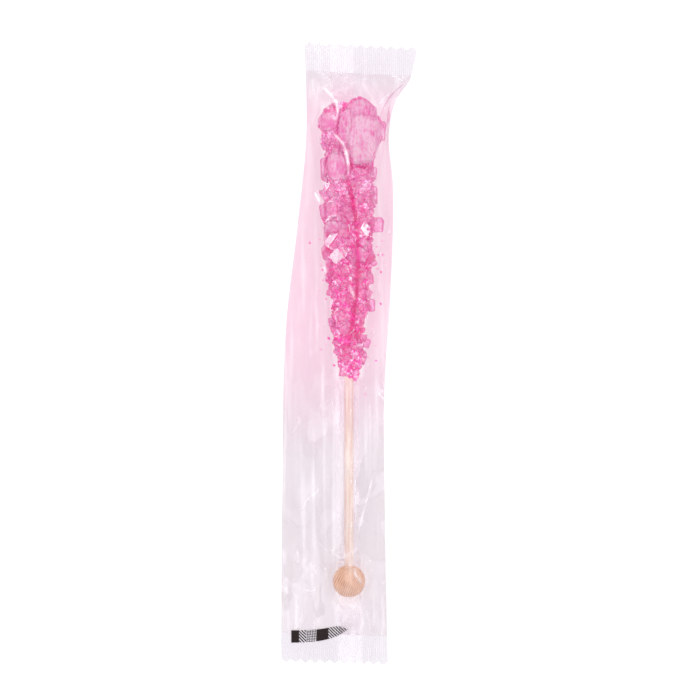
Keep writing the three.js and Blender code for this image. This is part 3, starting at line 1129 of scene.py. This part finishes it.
def link_move(gap, rest):
    """How far a link's ends move to bring it back to its length; film crumples more than it stretches."""
    length = np.sqrt((gap ** 2).sum(-1, keepdims=True)) + 1e-9
    strain = (length - rest) / length
    return gap * np.where(strain < 0, strain * CRUSH_SHARE, strain) * 0.5


def even_links(grid, rest_across, rest_along):
    for first in (0, 1):
        a, b = grid[:, first::2], np.roll(grid, -1, 1)[:, first::2]
        move = link_move(b - a, rest_across)
        grid[:, first::2] += move
        grid[:, (np.arange(first, FILM_AROUND, 2) + 1) % FILM_AROUND] -= move
    diagonal = math.hypot(rest_across, rest_along)
    for shift, rest in ((0, rest_along), (1, diagonal), (-1, diagonal)):
        for first in (0, 1):
            upper = grid[first + 1::2]
            lower = grid[first:-1:2][: len(upper)]
            move = link_move(np.roll(upper, -shift, 1) - lower, rest)
            lower += move
            upper -= np.roll(move, shift, 1)


def eased_bends(grid):
    """Takes out the sharpest bends: a share of how each point's curve differs from its neighbours'."""
    inner = np.roll(grid, 1, 1) + np.roll(grid, -1, 1) - 2 * grid
    inner[1:-1] += grid[2:] + grid[:-2] - 2 * grid[1:-1]
    spread_out = np.roll(inner, 1, 1) + np.roll(inner, -1, 1) - 2 * inner
    spread_out[1:-1] += inner[2:] + inner[:-2] - 2 * inner[1:-1]
    grid -= FILM_STIFFNESS * 0.125 * spread_out


def normals_of(grid):
    across = np.roll(grid, -1, 1) - np.roll(grid, 1, 1)
    lengthwise = np.gradient(grid, axis=0)
    normal = np.cross(lengthwise, across)
    return normal / (np.linalg.norm(normal, axis=-1, keepdims=True) + 1e-9)


print("links, mm:", round(LINK_ACROSS, 2), "across and", round(LINK_ALONG, 2), "along")

# %% [markdown]
# The film may not pass through what the bag holds, so each of its points is pushed out along its own
# line from the axis. It may not pass through itself either, so the upper wall stays above the lower one.

# %% What the film lies on
NO_FILLING = 0.5


def off_the_filling(grid):
    """Pushes the film out from the axis to where the map of the filling's reach, read between its rows
    and angles, lets it lie."""
    x, y, z = grid[..., 0], grid[..., 1], grid[..., 2]
    distance, row, column = round_the_axis(x, y, z)
    row, column = np.clip(row, 0, len(reach_ys) - 1.001), column % REACH_ANGLES
    r0, c0 = row.astype(int), column.astype(int) % REACH_ANGLES
    fr, fc = row - r0, column - column.astype(int)
    c1 = (c0 + 1) % REACH_ANGLES
    near = filling_reach[r0, c0] * (1 - fc) + filling_reach[r0, c1] * fc
    far = filling_reach[r0 + 1, c0] * (1 - fc) + filling_reach[r0 + 1, c1] * fc
    wanted = near * (1 - fr) + far * fr
    wanted = np.where(wanted > NO_FILLING, wanted + FILM_GAP, 0)
    distance = distance + 1e-9
    push = np.maximum(wanted - distance, 0) / distance
    z += (z - axis_height(y)) * push
    x += x * push


def off_itself(grid):
    """Keeps the upper wall above the lower one."""
    half = FILM_AROUND // 2
    upper = grid[:, 1:half, 2]
    lower = grid[:, :half:-1, 2]
    short = np.maximum(WALL_GAP - (upper - lower), 0) / 2
    upper += short
    lower -= short


print("least gap between the walls, mm:", WALL_GAP)

# %% [markdown]
# Now the film settles. A little air in the bag presses its walls out, its two folds are drawn gently to
# where the picture has them, and the rows at the seals stay where they are. It starts a little rough, from
# a fixed seed, because a perfectly even tube would have no place to wrinkle first.

# %% Letting it settle
FILM_PASSES = 600
FILM_SEED = 21
FILM_ROUGHNESS = 0.08
FILM_PRESSURE = 0.012
FOLD_PULL = 0.06
LINK_TURNS = 3


def settled_film(grid):
    """Lets the film settle, with its folds drawn gently to where the picture has them."""
    draw = np.random.default_rng(FILM_SEED)
    seals = grid[[0, -1]].copy()
    grid[1:-1] += draw.normal(0, FILM_ROUGHNESS, grid[1:-1].shape)
    row_ys = np.linspace(FOOT_SEAL_LINE, HEAD_SEAL_LINE, FILM_ROWS)
    folds = [(0, LEFT_FOLD), (FILM_AROUND // 2, RIGHT_FOLD)]
    folds = [(column, np.array([along(line, y) for y in row_ys])) for column, line in folds]
    for _ in range(FILM_PASSES):
        grid[1:-1] += normals_of(grid)[1:-1] * FILM_PRESSURE
        for column, wanted in folds:
            grid[:, column, 0] += (wanted - grid[:, column, 0]) * FOLD_PULL
        for _ in range(LINK_TURNS):
            even_links(grid, LINK_ACROSS, LINK_ALONG)
            grid[[0, -1]] = seals
        eased_bends(grid)
        off_the_filling(grid)
        off_itself(grid)
        grid[..., 2] = np.maximum(grid[..., 2], TABLE_GAP)
        grid[[0, -1]] = seals
    return grid


film_grid = settled_film(film_grid)
print("film, mm:", film_grid.min((0, 1)).round(2), "to", film_grid.max((0, 1)).round(2))

# %% [markdown]
# The relaxed grid is coarse, and the picture shows how wide the bag lies. So each row is drawn out to
# that outline, most at the folds and not at all over the stick, and the grid is then made finer with
# curves through its points, so that sharp creases can be pressed into it.

# %% The film's outline and finer grid
FINE_ROWS = 420
FINE_AROUND = 200


def drawn_out(grid):
    for row in grid:
        y = row[:, 1].mean()
        for fold, line in ((row[:, 0].min(), LEFT_FOLD), (row[:, 0].max(), RIGHT_FOLD)):
            share = np.clip(row[:, 0] / fold, 0, 1)
            row[:, 0] += (along(line, y) - fold) * share ** 2


def finer(grid, count, closed):
    """The grid's first direction taken again at count places, on a smooth curve through the old ones."""
    old = len(grid)
    at = np.arange(count) * (old / count if closed else (old - 1) / (count - 1))
    k = np.minimum(np.floor(at).astype(int), old - 1 if closed else old - 2)
    t = (at - k)[:, None, None]
    around = [(k + step) % old if closed else np.clip(k + step, 0, old - 1) for step in (-1, 0, 1, 2)]
    a, b, c, d = (grid[i] for i in around)
    bend = (2 * a - 5 * b + 4 * c - d) * t ** 2 + (3 * b - 3 * c + d - a) * t ** 3
    return 0.5 * (2 * b + (c - a) * t + bend)


drawn_out(film_grid)
fine_grid = finer(film_grid, FINE_ROWS, False)
fine_grid = finer(fine_grid.transpose(1, 0, 2), FINE_AROUND, True).transpose(1, 0, 2).copy()
print("fine film grid:", fine_grid.shape)

# %% [markdown]
# Creases are where clear film shows most: a fold catches the light, and that highlight is painted white
# along it. The long curved ones over the candy lie where the picture has them. Others are drawn at random
# from a fixed seed: pleats round the candy's thin end, bent lines along the bag below it, and lines that
# fan out from the two seals.

# %% Creases
NAMED_CREASES = [
    ([(-9.8, 95.8), (-6.6, 92), (-4.4, 88.8), (-3.9, 85.5), (-4.6, 81.9)], 0.8, 1.2, 1.0),
    ([(-5.9, 84.6), (-4.7, 82.4)], 0.4, 0.8, 0.9),
    ([(-6.5, 78.6), (-4.6, 77), (-2.1, 74.3), (-0.7, 70.2), (-0.1, 65.2), (-0.8, 63)], 0.8, 1.2, 1.0),
    ([(-8.4, 87.8), (-6.7, 86.5)], 0.3, 0.8, 0.7),
    ([(-12.3, 57.6), (-10, 53.4)], 0.6, 1.0, 1.0),
    ([(-9.2, 31.5), (-7.9, 28.6)], 0.4, 0.8, 0.7),
    ([(0, 25), (2.2, 19.2)], 0.4, 0.9, 0.8),
    ([(15.6, 94.5), (9.5, 87.5)], 0.5, 1.1, 0.5),
    ([(-13.5, 99), (-11.6, 90)], 0.5, 1.2, 0.4),
    ([(-13.2, -64), (-8.2, -70), (-2.5, -72.5), (5.5, -68)], 0.7, 1.6, 0.4),
    ([(9.5, -40), (5.2, -56), (2.6, -66)], 0.6, 1.6, 0.6),
]
PLEATS = [(-9, -8), (-7.2, -13), (-5.4, -9), (-3.4, -14), (3.4, -12), (5.2, -8), (7.4, -13), (9.4, -10)]
PLEAT_LENGTH = 15
CREASE_SEED = 12
LOW_CREASES = 46
LOW_BENDS = 5
FAN_CREASES = 9


def drawn_creases():
    draw = random.Random(CREASE_SEED)
    creases = list(NAMED_CREASES)
    for x, y in PLEATS:
        path = [(x, y), (x * 1.1, y - PLEAT_LENGTH / 2), (x * 1.15, y - PLEAT_LENGTH)]
        creases.append((path, draw.uniform(0.3, 0.6), draw.uniform(0.5, 0.9), draw.uniform(0.15, 0.45)))
    for _ in range(LOW_CREASES):
        y = draw.uniform(-92, -12)
        x = draw.uniform(along(LEFT_FOLD, y) + 2, along(RIGHT_FOLD, y) - 2)
        length, heading = draw.uniform(4, 15), draw.gauss(0, 0.45)
        path = [(x, y + length / 2)]
        for _ in range(LOW_BENDS):
            heading += draw.gauss(0, 0.35)
            stretch, (last_x, last_y) = length / LOW_BENDS, path[-1]
            path.append((last_x + math.sin(heading) * stretch, last_y - math.cos(heading) * stretch))
        rise, width = draw.uniform(0.15, 0.6), draw.uniform(0.8, 2)
        creases.append((path, rise, width, draw.choice((0, 0.1, 0.25, 0.5))))
    for seal, way, middle in ((HEAD_SEAL_LINE, -1, 3.3), (FOOT_SEAL_LINE, 1, -5)):
        for _ in range(FAN_CREASES):
            start = draw.uniform(-17, 17)
            length = draw.uniform(5, 13)
            path = [(middle + start, seal + way * 0.5), (middle + start * 0.86, seal + way * length)]
            creases.append((path, draw.uniform(0.15, 0.4), draw.uniform(0.8, 1.6), draw.uniform(0.1, 0.45)))
    return creases


creases = drawn_creases()
print("creases:", len(creases))

# %% [markdown]
# Each crease lifts the upper wall into a ridge that falls away to both sides and tapers to its ends. Its
# painted white highlight is kept for each point, with small breaks in it, as a real fold isn't even. The
# film is then kept off the filling once more.

# %% Pressing in the creases
def nearness(points, path):
    """How far each point is from a path, and how far along it from 0 to 1."""
    path = np.array(path, float)
    best = np.full(points.shape[:-1], 1e9)
    share = np.zeros(points.shape[:-1])
    lengths = np.hypot(*np.diff(path, axis=0).T)
    for k, (a, b) in enumerate(zip(path[:-1], path[1:])):
        t = np.clip(((points - a) @ (b - a)) / ((b - a) @ (b - a)), 0, 1)
        distance = np.linalg.norm(points - (a + t[..., None] * (b - a)), axis=-1)
        nearer = distance < best
        best = np.where(nearer, distance, best)
        share = np.where(nearer, (lengths[:k].sum() + t * lengths[k]) / lengths.sum(), share)
    return best, share


UPPER = slice(1, FINE_AROUND // 2)
# The white along each crease is a painted highlight.
painted_crease_highlights = np.zeros(fine_grid.shape[:2])
upper_places = fine_grid[:, UPPER, :2].copy()
for path, rise, width, highlight_white in creases:
    distance, share = nearness(upper_places, path)
    taper = np.clip(np.sin(np.pi * np.clip(share, 0.02, 0.98)), 0, 1) ** 0.6
    fine_grid[:, UPPER, 2] += rise * taper * np.exp(-distance / width)
    breaks = 0.78 + 0.22 * np.sin(share * 9 + rise * 40) * np.sin(share * 23 + width * 9)
    line = highlight_white * breaks * np.exp(-(distance / (0.26 + 0.36 * taper)) ** 2) * (distance < 3)
    painted_crease_highlights[:, UPPER] = np.maximum(painted_crease_highlights[:, UPPER], line * np.clip(taper * 1.3, 0, 1))
off_the_filling(fine_grid)
fine_grid[..., 2] = np.maximum(fine_grid[..., 2], TABLE_GAP)
print("highest film, mm:", fine_grid[..., 2].max().round(2))

# %% [markdown]
# The tube itself is one mesh over the finer grid. The painted white highlight of each crease goes with it
# as an attribute of its points, for the film's finish to read.

# %% The film tube
def tube_faces(rows, around):
    """Squares over a grid whose rows are closed rings."""
    at = np.arange(rows * around).reshape(rows, around)
    after = np.roll(at, -1, 1)
    return np.stack([at[:-1], after[:-1], after[1:], at[1:]], -1).reshape(-1, 4).tolist()


film = outward(mesh_object("film_tube", fine_grid.reshape(-1, 3) * MM, tube_faces(FINE_ROWS, FINE_AROUND)))
film.data.attributes.new("crease_highlight", "FLOAT", "POINT").data.foreach_set("value", painted_crease_highlights.ravel())
print("film faces:", len(film.data.polygons))

# %% [markdown]
# At each end the two walls are pressed flat between ribbed jaws and cut with a saw-toothed blade. So each
# seal is a thin slab on a much finer grid, with ribs that run along the bag and teeth along its end.

# %% The two seals
TOOTH_COUNT = 11
TOOTH_DEPTH = 1.3
RIB_PITCH = 0.72
RIB_RISE = 0.045
SEAL_COLUMNS = 230
SEAL_ROWS = 22
SEAL_THICKNESS = 0.24
SEAL_WAVE = 0.25
SEAL_TRIM = 0.16


def closed_sheet(name, upper, lower):
    """A thin closed slab from two grids of points, joined along all four sides."""
    rows, columns = upper.shape[:2]
    at = np.arange(rows * columns).reshape(rows, columns)
    faces = []
    for low, turned in ((0, False), (rows * columns, True)):
        quads = np.stack([at[:-1, :-1], at[:-1, 1:], at[1:, 1:], at[1:, :-1]], -1).reshape(-1, 4) + low
        faces += [tuple(q[::-1] if turned else q) for q in quads.tolist()]
    rim = np.concatenate([at[0, :], at[1:, -1], at[-1, -2::-1], at[-2:0:-1, 0]]).tolist()
    for a, b in zip(rim, rim[1:] + rim[:1]):
        faces.append((b, a, a + rows * columns, b + rows * columns))
    points = np.concatenate([upper.reshape(-1, 3), lower.reshape(-1, 3)])
    return outward(mesh_object(name, points * MM, faces))


def seal_height(x, y):
    """The middle of a seal slab at a place."""
    at_head = np.greater(y, 0)
    base = np.where(at_head, HEAD_SEAL_HEIGHT, FOOT_SEAL_HEIGHT)
    out = np.abs(y) - HEAD_SEAL_LINE
    return base + SEAL_WAVE * np.sin(x / 4.7 + at_head * 2) * eased(out, 0, SEAL_LENGTH)


def seal(name, end_row, way, slant, outer):
    """A seal from the tube's end row out to its teeth; way is 1 at the head and -1 at the foot."""
    start_left, start_right = end_row[:, 0].min(), end_row[:, 0].max()
    u = np.linspace(0, 1, SEAL_COLUMNS)[None, :]
    v = np.linspace(-0.003, 1, SEAL_ROWS)[:, None]
    left, right = start_left + (outer[0] - start_left) * v, start_right + (outer[1] - start_right) * v
    x = left * (1 - u) + right * u
    tooth = TOOTH_DEPTH * np.abs(((u * TOOTH_COUNT) % 1) * 2 - 1)
    out = (SEAL_LENGTH - SEAL_TRIM - tooth) * v
    y = way * (HEAD_SEAL_LINE + out) + slant * (x - (start_left + start_right) / 2)
    ribs = RIB_RISE * np.sin(2 * np.pi * x / RIB_PITCH) * eased(v, 0.05, 0.15)
    z = seal_height(x, y) + ribs
    sheet = [np.stack([x, y + 0 * x, z + side * SEAL_THICKNESS / 2], -1) for side in (1, -1)]
    return closed_sheet(name, *sheet)


head_seal = seal("head_seal", film_grid[-1], 1, HEAD_SEAL_SLANT, (-15.9, 24.3))
foot_seal = seal("foot_seal", film_grid[0], -1, FOOT_SEAL_SLANT, (-24.3, 13.9))
print("seal faces:", len(head_seal.data.polygons), len(foot_seal.data.polygons))

# %% [markdown]
# The tube was made from one sheet, so a fin of two layers runs down its back from end to end. It lies flat
# under the bag, and at the ends it goes up with the seals.

# %% The fin at the back
FIN_WIDTH = 8.4
FIN_THICKNESS = 0.26
FIN_AT_FOOT = 0.6
FIN_AT_HEAD = -2.7
FIN_ROWS = 300
FIN_COLUMNS = 14
FIN_DROP = 0.09
FIN_FLOOR = FIN_THICKNESS + 0.04
FIN_FOOT, FIN_HEAD = 1.6 - BAG_LENGTH / 2, BAG_LENGTH / 2 - 1.8


def row_nearest(y):
    return int(np.argmin(np.abs(fine_grid[:, 0, 1] - y)))


def height_in_row(row, x):
    """The height at x of one wall's points in a row of the film."""
    order = np.argsort(row[:, 0])
    return float(np.interp(x, row[order, 0], row[order, 2]))


def under_the_film(x, y):
    """The height of the lower wall at a place inside the tube, or of the seal's underside beyond it."""
    if abs(y) > HEAD_SEAL_LINE:
        return float(seal_height(x, y)) - SEAL_THICKNESS / 2
    return height_in_row(fine_grid[row_nearest(y), FINE_AROUND // 2:], x)


def smooth_heights(grid, passes):
    """Evens out a grid's heights from row to row, all but its first row and its last."""
    for _ in range(passes):
        grid[1:-1, :, 2] = (grid[:-2, :, 2] + 2 * grid[1:-1, :, 2] + grid[2:, :, 2]) / 4


fin_upper = np.zeros((FIN_ROWS, FIN_COLUMNS, 3))
for j, y in enumerate(np.linspace(FIN_FOOT, FIN_HEAD, FIN_ROWS)):
    middle = FIN_AT_FOOT + (FIN_AT_HEAD - FIN_AT_FOOT) * (y / BAG_LENGTH + 0.5)
    for i, aside in enumerate(np.linspace(-FIN_WIDTH / 2, FIN_WIDTH / 2, FIN_COLUMNS)):
        x = middle + aside
        fin_upper[j, i] = (x, y, max(under_the_film(x, y) - FIN_DROP, FIN_FLOOR))
smooth_heights(fin_upper, 3)
fin_lower = fin_upper - np.array([0, 0, FIN_THICKNESS])
fin_strip = closed_sheet("fin_strip", fin_upper, fin_lower)
print("fin strip faces:", len(fin_strip.data.polygons), "lowest, mm:", fin_lower[..., 2].min().round(2))

# %% [markdown]
# A few grains have broken off and lie loose in the bag beside the candy's thin end. They are the smallest
# crystal kinds again, laid one at a time on the lower film now that it has settled, and joined.

# %% Loose crumbs
CRUMB_COUNT = 34
CRUMB_SEED = 31
CRUMB_LIFT = 0.6


def loose_crumbs():
    draw = random.Random(CRUMB_SEED)
    crumbs = bmesh.new()
    for _ in range(CRUMB_COUNT):
        y = draw.uniform(-16, 42)
        middle, half = candy_section(max(y, CANDY_FOOT), 0)
        aside = half + draw.expovariate(0.6) + 0.6
        x = middle + draw.choice((-1, 1)) * aside
        x = min(max(x, along(CANDY_LEFT, y) - 5), along(CANDY_RIGHT, y) + 4)
        size = draw.uniform(0.3, 0.8)
        turn = Euler([draw.uniform(0, 6.3) for _ in range(3)]).to_matrix().to_4x4()
        place = Matrix.Translation(Vector((x, y, under_the_film(x, y) + size * CRUMB_LIFT)) * MM)
        first = len(crumbs.verts)
        crumbs.from_mesh(draw.choice(list(grain_kinds.objects)).data)
        crumbs.verts.ensure_lookup_table()
        bmesh.ops.transform(
            crumbs, matrix=place @ turn @ Matrix.Scale(size * MM, 4), verts=crumbs.verts[first:]
        )
    mesh = bpy.data.meshes.new("sugar_crumbs")
    crumbs.to_mesh(mesh)
    crumbs.free()
    mesh.materials.append(grain_finish)
    return placed(bpy.data.objects.new("sugar_crumbs", mesh))


sugar_crumbs = loose_crumbs()
print("crumb faces:", len(sugar_crumbs.data.polygons))

# %% [markdown]
# Near the foot a dark bar is printed on the film, which a packing machine's sensor reads. It is a band of
# four fields that narrows to a point, laid a hair above the film it is printed on.

# %% The printed bar
BAR_MIDDLE = [(-20.7, -101.1), (-14, -100.9), (-9, -100.3), (-4.4, -99.2), (-0.3, -98.4)]
BAR_WIDTH = [(-20.7, 4.5), (-12, 4.4), (-6, 4.1), (-4, 3.7), (-0.3, 0.15)]
BAR_COLUMNS = 110
BAR_ROWS = 16
BAR_LIFT = 0.1
INK_THICKNESS = 0.02


def over_the_film(x, y):
    """The height of the upper wall at a place near the foot seal, or of the seal's ribs beyond its line."""
    if y < FOOT_SEAL_LINE + 0.4:
        return float(seal_height(x, y)) + SEAL_THICKNESS / 2 + RIB_RISE
    near = fine_grid[max(row_nearest(y) - 3, 0):row_nearest(y) + 4]
    walls = [height_in_row(row[1:FINE_AROUND // 2], x) for row in near]
    return max(walls + [float(seal_height(x, FOOT_SEAL_LINE)) + SEAL_THICKNESS / 2])


bar = np.zeros((BAR_ROWS, BAR_COLUMNS, 3))
for i, x in enumerate(np.linspace(BAR_MIDDLE[0][0], BAR_MIDDLE[-1][0], BAR_COLUMNS)):
    for j, across in enumerate(np.linspace(-0.5, 0.5, BAR_ROWS)):
        y = along(BAR_MIDDLE, x) + across * np.interp(x, *zip(*BAR_WIDTH))
        bar[j, i] = (x, y, over_the_film(x, y) + BAR_LIFT)
smooth_heights(bar, 2)
eye_bar = closed_sheet("printed_bar", bar + np.array([0, 0, INK_THICKNESS]), bar)
print("printed bar, mm long:", round(BAR_MIDDLE[-1][0] - BAR_MIDDLE[0][0], 1))

# %% [markdown]
# The film itself is almost clear. Near the candy it takes on a painted pink glow, standing in for the
# candy's light caught in the film, and further down it is a pale lilac with paler streaks and crumpled
# flats, painted light and shade of its folds. One group gives this colour and the masks that tell the
# film, its seals and its fin apart.

# %% The film's colour
LILAC = (0.32, 0.21, 0.28, 1)
# The pink beside the candy is a painted glow, standing in for the candy's light caught in the film.
PAINTED_CANDY_GLOW = (0.54, 0.13, 0.32, 1)
HEAD_PINK = (0.32, 0.17, 0.27, 1)
# The pale film colour is painted light of the film's folds.
PAINTED_FOLD_LIGHT = (0.88, 0.84, 0.9, 1)
FULL_TURN = 2 * math.pi
FIN_LEAN = (FIN_AT_FOOT - FIN_AT_HEAD) / BAG_LENGTH
FIN_MIDDLE = (FIN_AT_FOOT + FIN_AT_HEAD) / 2


def crumples(tree, place):
    """A value for each flat of the crumpled film, from 0 to 1, changing sharply from one to the next."""
    shake = cloud(tree, place, (110, 60, 110), 3) * 2.5
    shaken = vector_maths(tree, "MULTIPLY_ADD", place, (95, 42, 95), shake)
    soft_cells = {"feature": "SMOOTH_F1"}
    texture = add_node(tree, "ShaderNodeTexVoronoi", soft_cells, Vector=shaken, Scale=1.0, Smoothness=0.25)
    parts = add_node(tree, "ShaderNodeSeparateColor", Color=texture.outputs["Color"])
    return Field(parts.outputs[0])


def film_colours():
    """The film's colour by place, with a painted pink glow near the candy and painted light on its folds,
    and the masks that its clearness takes: painted fold shading, seals, painted rib shading and fin.
    """
    masks = dict.fromkeys(("Fold Shading", "Off Seals", "Rib Shading", "Over Candy", "Fin"), "Float")
    group, _, result = shader_group("film_colours", {}, {"Colour": "Color", **masks})
    place, x, y, _ = place_in(group)
    near_candy = y.step(-45, 15)
    # A painted pink glow near the candy.
    beside = blend(group, near_candy, LILAC, PAINTED_CANDY_GLOW)
    base = blend(group, y.step(84, 100), beside, HEAD_PINK)
    # Patches, streaks and crumpled flats are painted light and shade of the film's folds.
    patches = cloud(group, place, (190, 45, 190), 3)
    painted_streaks = cloud(group, place, (380, 11, 380), 3)
    crumple_light = crumples(group, place) * (1 - near_candy * 0.85)
    pale = patches.step(0.48, 0.72, 0.2) + painted_streaks.step(0.48, 0.68, 0.35) + crumple_light.step(0.4, 0.9, 0.28)
    from_fin = (x + (y * FIN_LEAN - FIN_MIDDLE)).size()
    off_candy = x.size() - (y * 0.05 + 5.5)
    found = {
        "Colour": blend(group, pale, base, PAINTED_FOLD_LIGHT),
        "Fold Shading": (patches + crumple_light) * 0.5,
        "Off Seals": y.size().step(100, 95),
        # The rib mask is painted shade of the seals' ribs.
        "Rib Shading": (x * (FULL_TURN / RIB_PITCH)).sine(),
        "Over Candy": off_candy.step(0.8, -0.8) * y.step(-10, -7) * y.step(91, 88),
        "Fin": from_fin.step(FIN_WIDTH / 2 + 0.1, FIN_WIDTH / 2 - 0.1),
    }
    for name, value in found.items():
        feed(result[name], value)
    return group


film_group = film_colours()
print("film group nodes:", len(film_group.nodes))

# %% [markdown]
# Film is more of a veil than a colour, so how clear it is matters most. It is thicker to look through
# where it turns away from the eye, and paler there by a painted sheen; it is white along its creases by a
# painted highlight, milky where it is pressed, and nearly gone where it clings to the sugar. Its clearness
# also carries painted shade of its folds and of the seals' ribs, and it glows a little in its own colour,
# a painted fill light. The seals and the fin are the same film with other shares.

# %% Clear film
SEAL_LILAC = (0.58, 0.54, 0.6, 1)
FIN_WHITE = (0.95, 0.92, 0.95, 1)
# The white of the fin, and of the painted highlight along the creases.
FIN_AND_HIGHLIGHT_WHITE = (0.97, 0.97, 0.98, 1)
STEEP_FILM_SHEEN = (0.86, 0.62, 0.76, 1)
FILM_TINT = (0.985, 0.97, 0.98, 1)
# The film glows a little in its own colour: a painted fill light that softens its shading.
PAINTED_FILM_GLOW = 0.2
FILM_BENDING = 1.5


def clear_film(name, least_alpha, pressed=0.0, pressed_colour=SEAL_LILAC, rib_shading_share=0.0, fin_share=0.0):
    material, tree, shader = plain_material(
        name, LILAC[:3], 0.06, Emission_Strength=PAINTED_FILM_GLOW, IOR=FILM_BENDING
    )
    colours = add_node(tree, "ShaderNodeGroup", {"node_tree": film_group})
    found = {output.name: Field(output) for output in colours.outputs}
    attribute = add_node(tree, "ShaderNodeAttribute", {"attribute_name": "crease_highlight"})
    crease_highlight = Field(attribute.outputs["Fac"])
    turned_away = Field(add_node(tree, "ShaderNodeLayerWeight", Blend=0.35).outputs["Facing"])
    # Where the film turns away it is thicker to see through, and paler by a painted sheen.
    edge_share = turned_away.squared() * found["Off Seals"]
    base = blend(tree, pressed, found["Colour"], pressed_colour)
    base = blend(tree, found["Fin"] * fin_share, base, FIN_AND_HIGHLIGHT_WHITE)
    base = blend(tree, edge_share, base, STEEP_FILM_SHEEN)
    # White along the creases is a painted highlight.
    base = blend(tree, crease_highlight.at_most(1), base, FIN_AND_HIGHLIGHT_WHITE)
    # The fold shading and rib shading in the clearness are painted shade.
    alpha = edge_share * 0.28 + found["Rib Shading"] * rib_shading_share + found["Fold Shading"] * 0.16 + least_alpha
    alpha = alpha * (1 - found["Over Candy"] * 0.55) + crease_highlight * 0.75
    set_inputs(shader, Base_Color=base, Emission_Color=base, Alpha=alpha.at_most(1))
    clear_for_lamps(tree, shader, FILM_TINT)
    return material


seal_finish = clear_film("sealed_film", 0.34, 0.85, SEAL_LILAC, rib_shading_share=0.03, fin_share=0.13)
film.data.materials.append(clear_film("clear_film", 0.2))
for piece in (head_seal, foot_seal):
    piece.data.materials.append(seal_finish)
fin_strip.data.materials.append(clear_film("fin_film", 0.16, 1.0, FIN_WHITE))
print("film finishes:", [piece.active_material.name for piece in (film, head_seal, fin_strip)])

# %% [markdown]
# The bar's ink is nearly black and lets the film show between its lines. Its fields are masks made from
# the place on the bag: slanted lines are the sine of x and y together, and crossed lines the product of
# two such sines.

# %% Printed ink
INK = (0.014, 0.006, 0.007)
INK_TINT = (0.9, 0.9, 0.9, 1)
INK_FIELDS = (-17.9, -15.4, -11.6, -7.4)
HATCH_PITCH, WEAVE_PITCH = 1.15, 1.3


def printed_ink():
    """Four fields along the bar: solid, hatched, solid and striped, by the place along the bag's width."""
    material, tree, shader = plain_material("bar_ink", INK, 0.4, Specular_IOR_Level=0.2)
    _, x, y, _ = place_in(tree)
    across = ((x + y) * (FULL_TURN / HATCH_PITCH)).sine()
    against = ((x - y) * (FULL_TURN / WEAVE_PITCH)).sine()
    hatch, weave = across.step(-0.2, 0.2, 0.85), (across * against).step(-0.15, 0.15, 0.7)
    ink = 0.95
    for edge, field in zip(INK_FIELDS, (hatch, weave, 0.96, hatch)):
        mixed = add_node(tree, "ShaderNodeMix", Factor=x.maths("GREATER_THAN", edge))
        feed(mixed.inputs[2], ink)
        feed(mixed.inputs[3], field)
        ink = mixed.outputs[0]
    set_inputs(shader, Alpha=ink)
    clear_for_lamps(tree, shader, INK_TINT)
    return material


eye_bar.data.materials.append(printed_ink())
print("the bar's finish:", eye_bar.active_material.name)

# %% [markdown]
# Stick and bead are the same birch, pale with fine darker grain along the stick. One group gives the
# grain to both. The bead is a little browner, and its turned surface shows the rings of the tree as thin
# brown lines, so the group draws rings about a middle that lies outside the bead.

# %% Wood finishes
RING_MIDDLE = (13.9, -89)
RING_PITCH = 0.74


def tree_rings(tree, place, x, y):
    """Thin lines round a far middle, uneven in how dark they are."""
    squares = (x - RING_MIDDLE[0]).squared() + (y - RING_MIDDLE[1]).squared()
    rings = squares.maths("SQRT") * (FULL_TURN / RING_PITCH)
    lines = (cloud(tree, place, (200, 160, 200), 3) * 9 + rings).sine().step(0.35, 0.95)
    return lines * cloud(tree, place, (380, 380, 380), 2).step(0.3, 0.55)


def birch_grain():
    """Grain along the stick, or the rings of the tree, by a share from 0 to 1."""
    group, given, result = shader_group(
        "birch_grain", {"Light": "Color", "Dark": "Color", "Rings": "Float"},
        {"Colour": "Color", "Grain": "Float"},
    )
    place, x, y, _ = place_in(group)
    rings = Field(given["Rings"])
    lines = cloud(group, place, (1100, 55, 1100), 4)
    pores = cloud(group, place, (3200, 260, 3200), 2)
    along_grain = lines.step(0.42, 0.66, 0.75) + pores.step(0.6, 0.7, 0.35)
    share = along_grain * (1 - rings) + tree_rings(group, place, x, y) * rings
    feed(result["Colour"], blend(group, share.at_most(1), given["Light"], given["Dark"]))
    feed(result["Grain"], lines)
    return group


birch_group = birch_grain()


def birch(name, light, dark, rings):
    material, tree, shader = plain_material(name, light, 0.55)
    woods = {"Light": (*light, 1), "Dark": (*dark, 1), "Rings": rings}
    grain = add_node(tree, "ShaderNodeGroup", {"node_tree": birch_group}, **woods)
    set_inputs(shader, Base_Color=grain.outputs["Colour"])
    roughen(tree, shader, grain.outputs["Grain"], 0.25, 0.1)
    return material


stick.data.materials.append(birch("stick_birch", (0.92, 0.8, 0.7), (0.8, 0.56, 0.44), rings=0.0))
bead.data.materials.append(birch("bead_birch", (0.83, 0.5, 0.28), (0.4, 0.13, 0.04), rings=0.85))
print("wood finishes:", stick.active_material.name, bead.active_material.name)

# %% [markdown]
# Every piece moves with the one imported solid. The film with its seals takes that solid's place, and the
# sugar, stick and bead are what it holds.

# %% Joining the frame
film_pieces = [film, head_seal, foot_seal, fin_strip]
crystal_layers.append(sugar_crumbs)
for piece in [stick, bead, sugar_mass, eye_bar] + film_pieces + crystal_layers:
    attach(piece, "root")
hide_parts("film_bag")
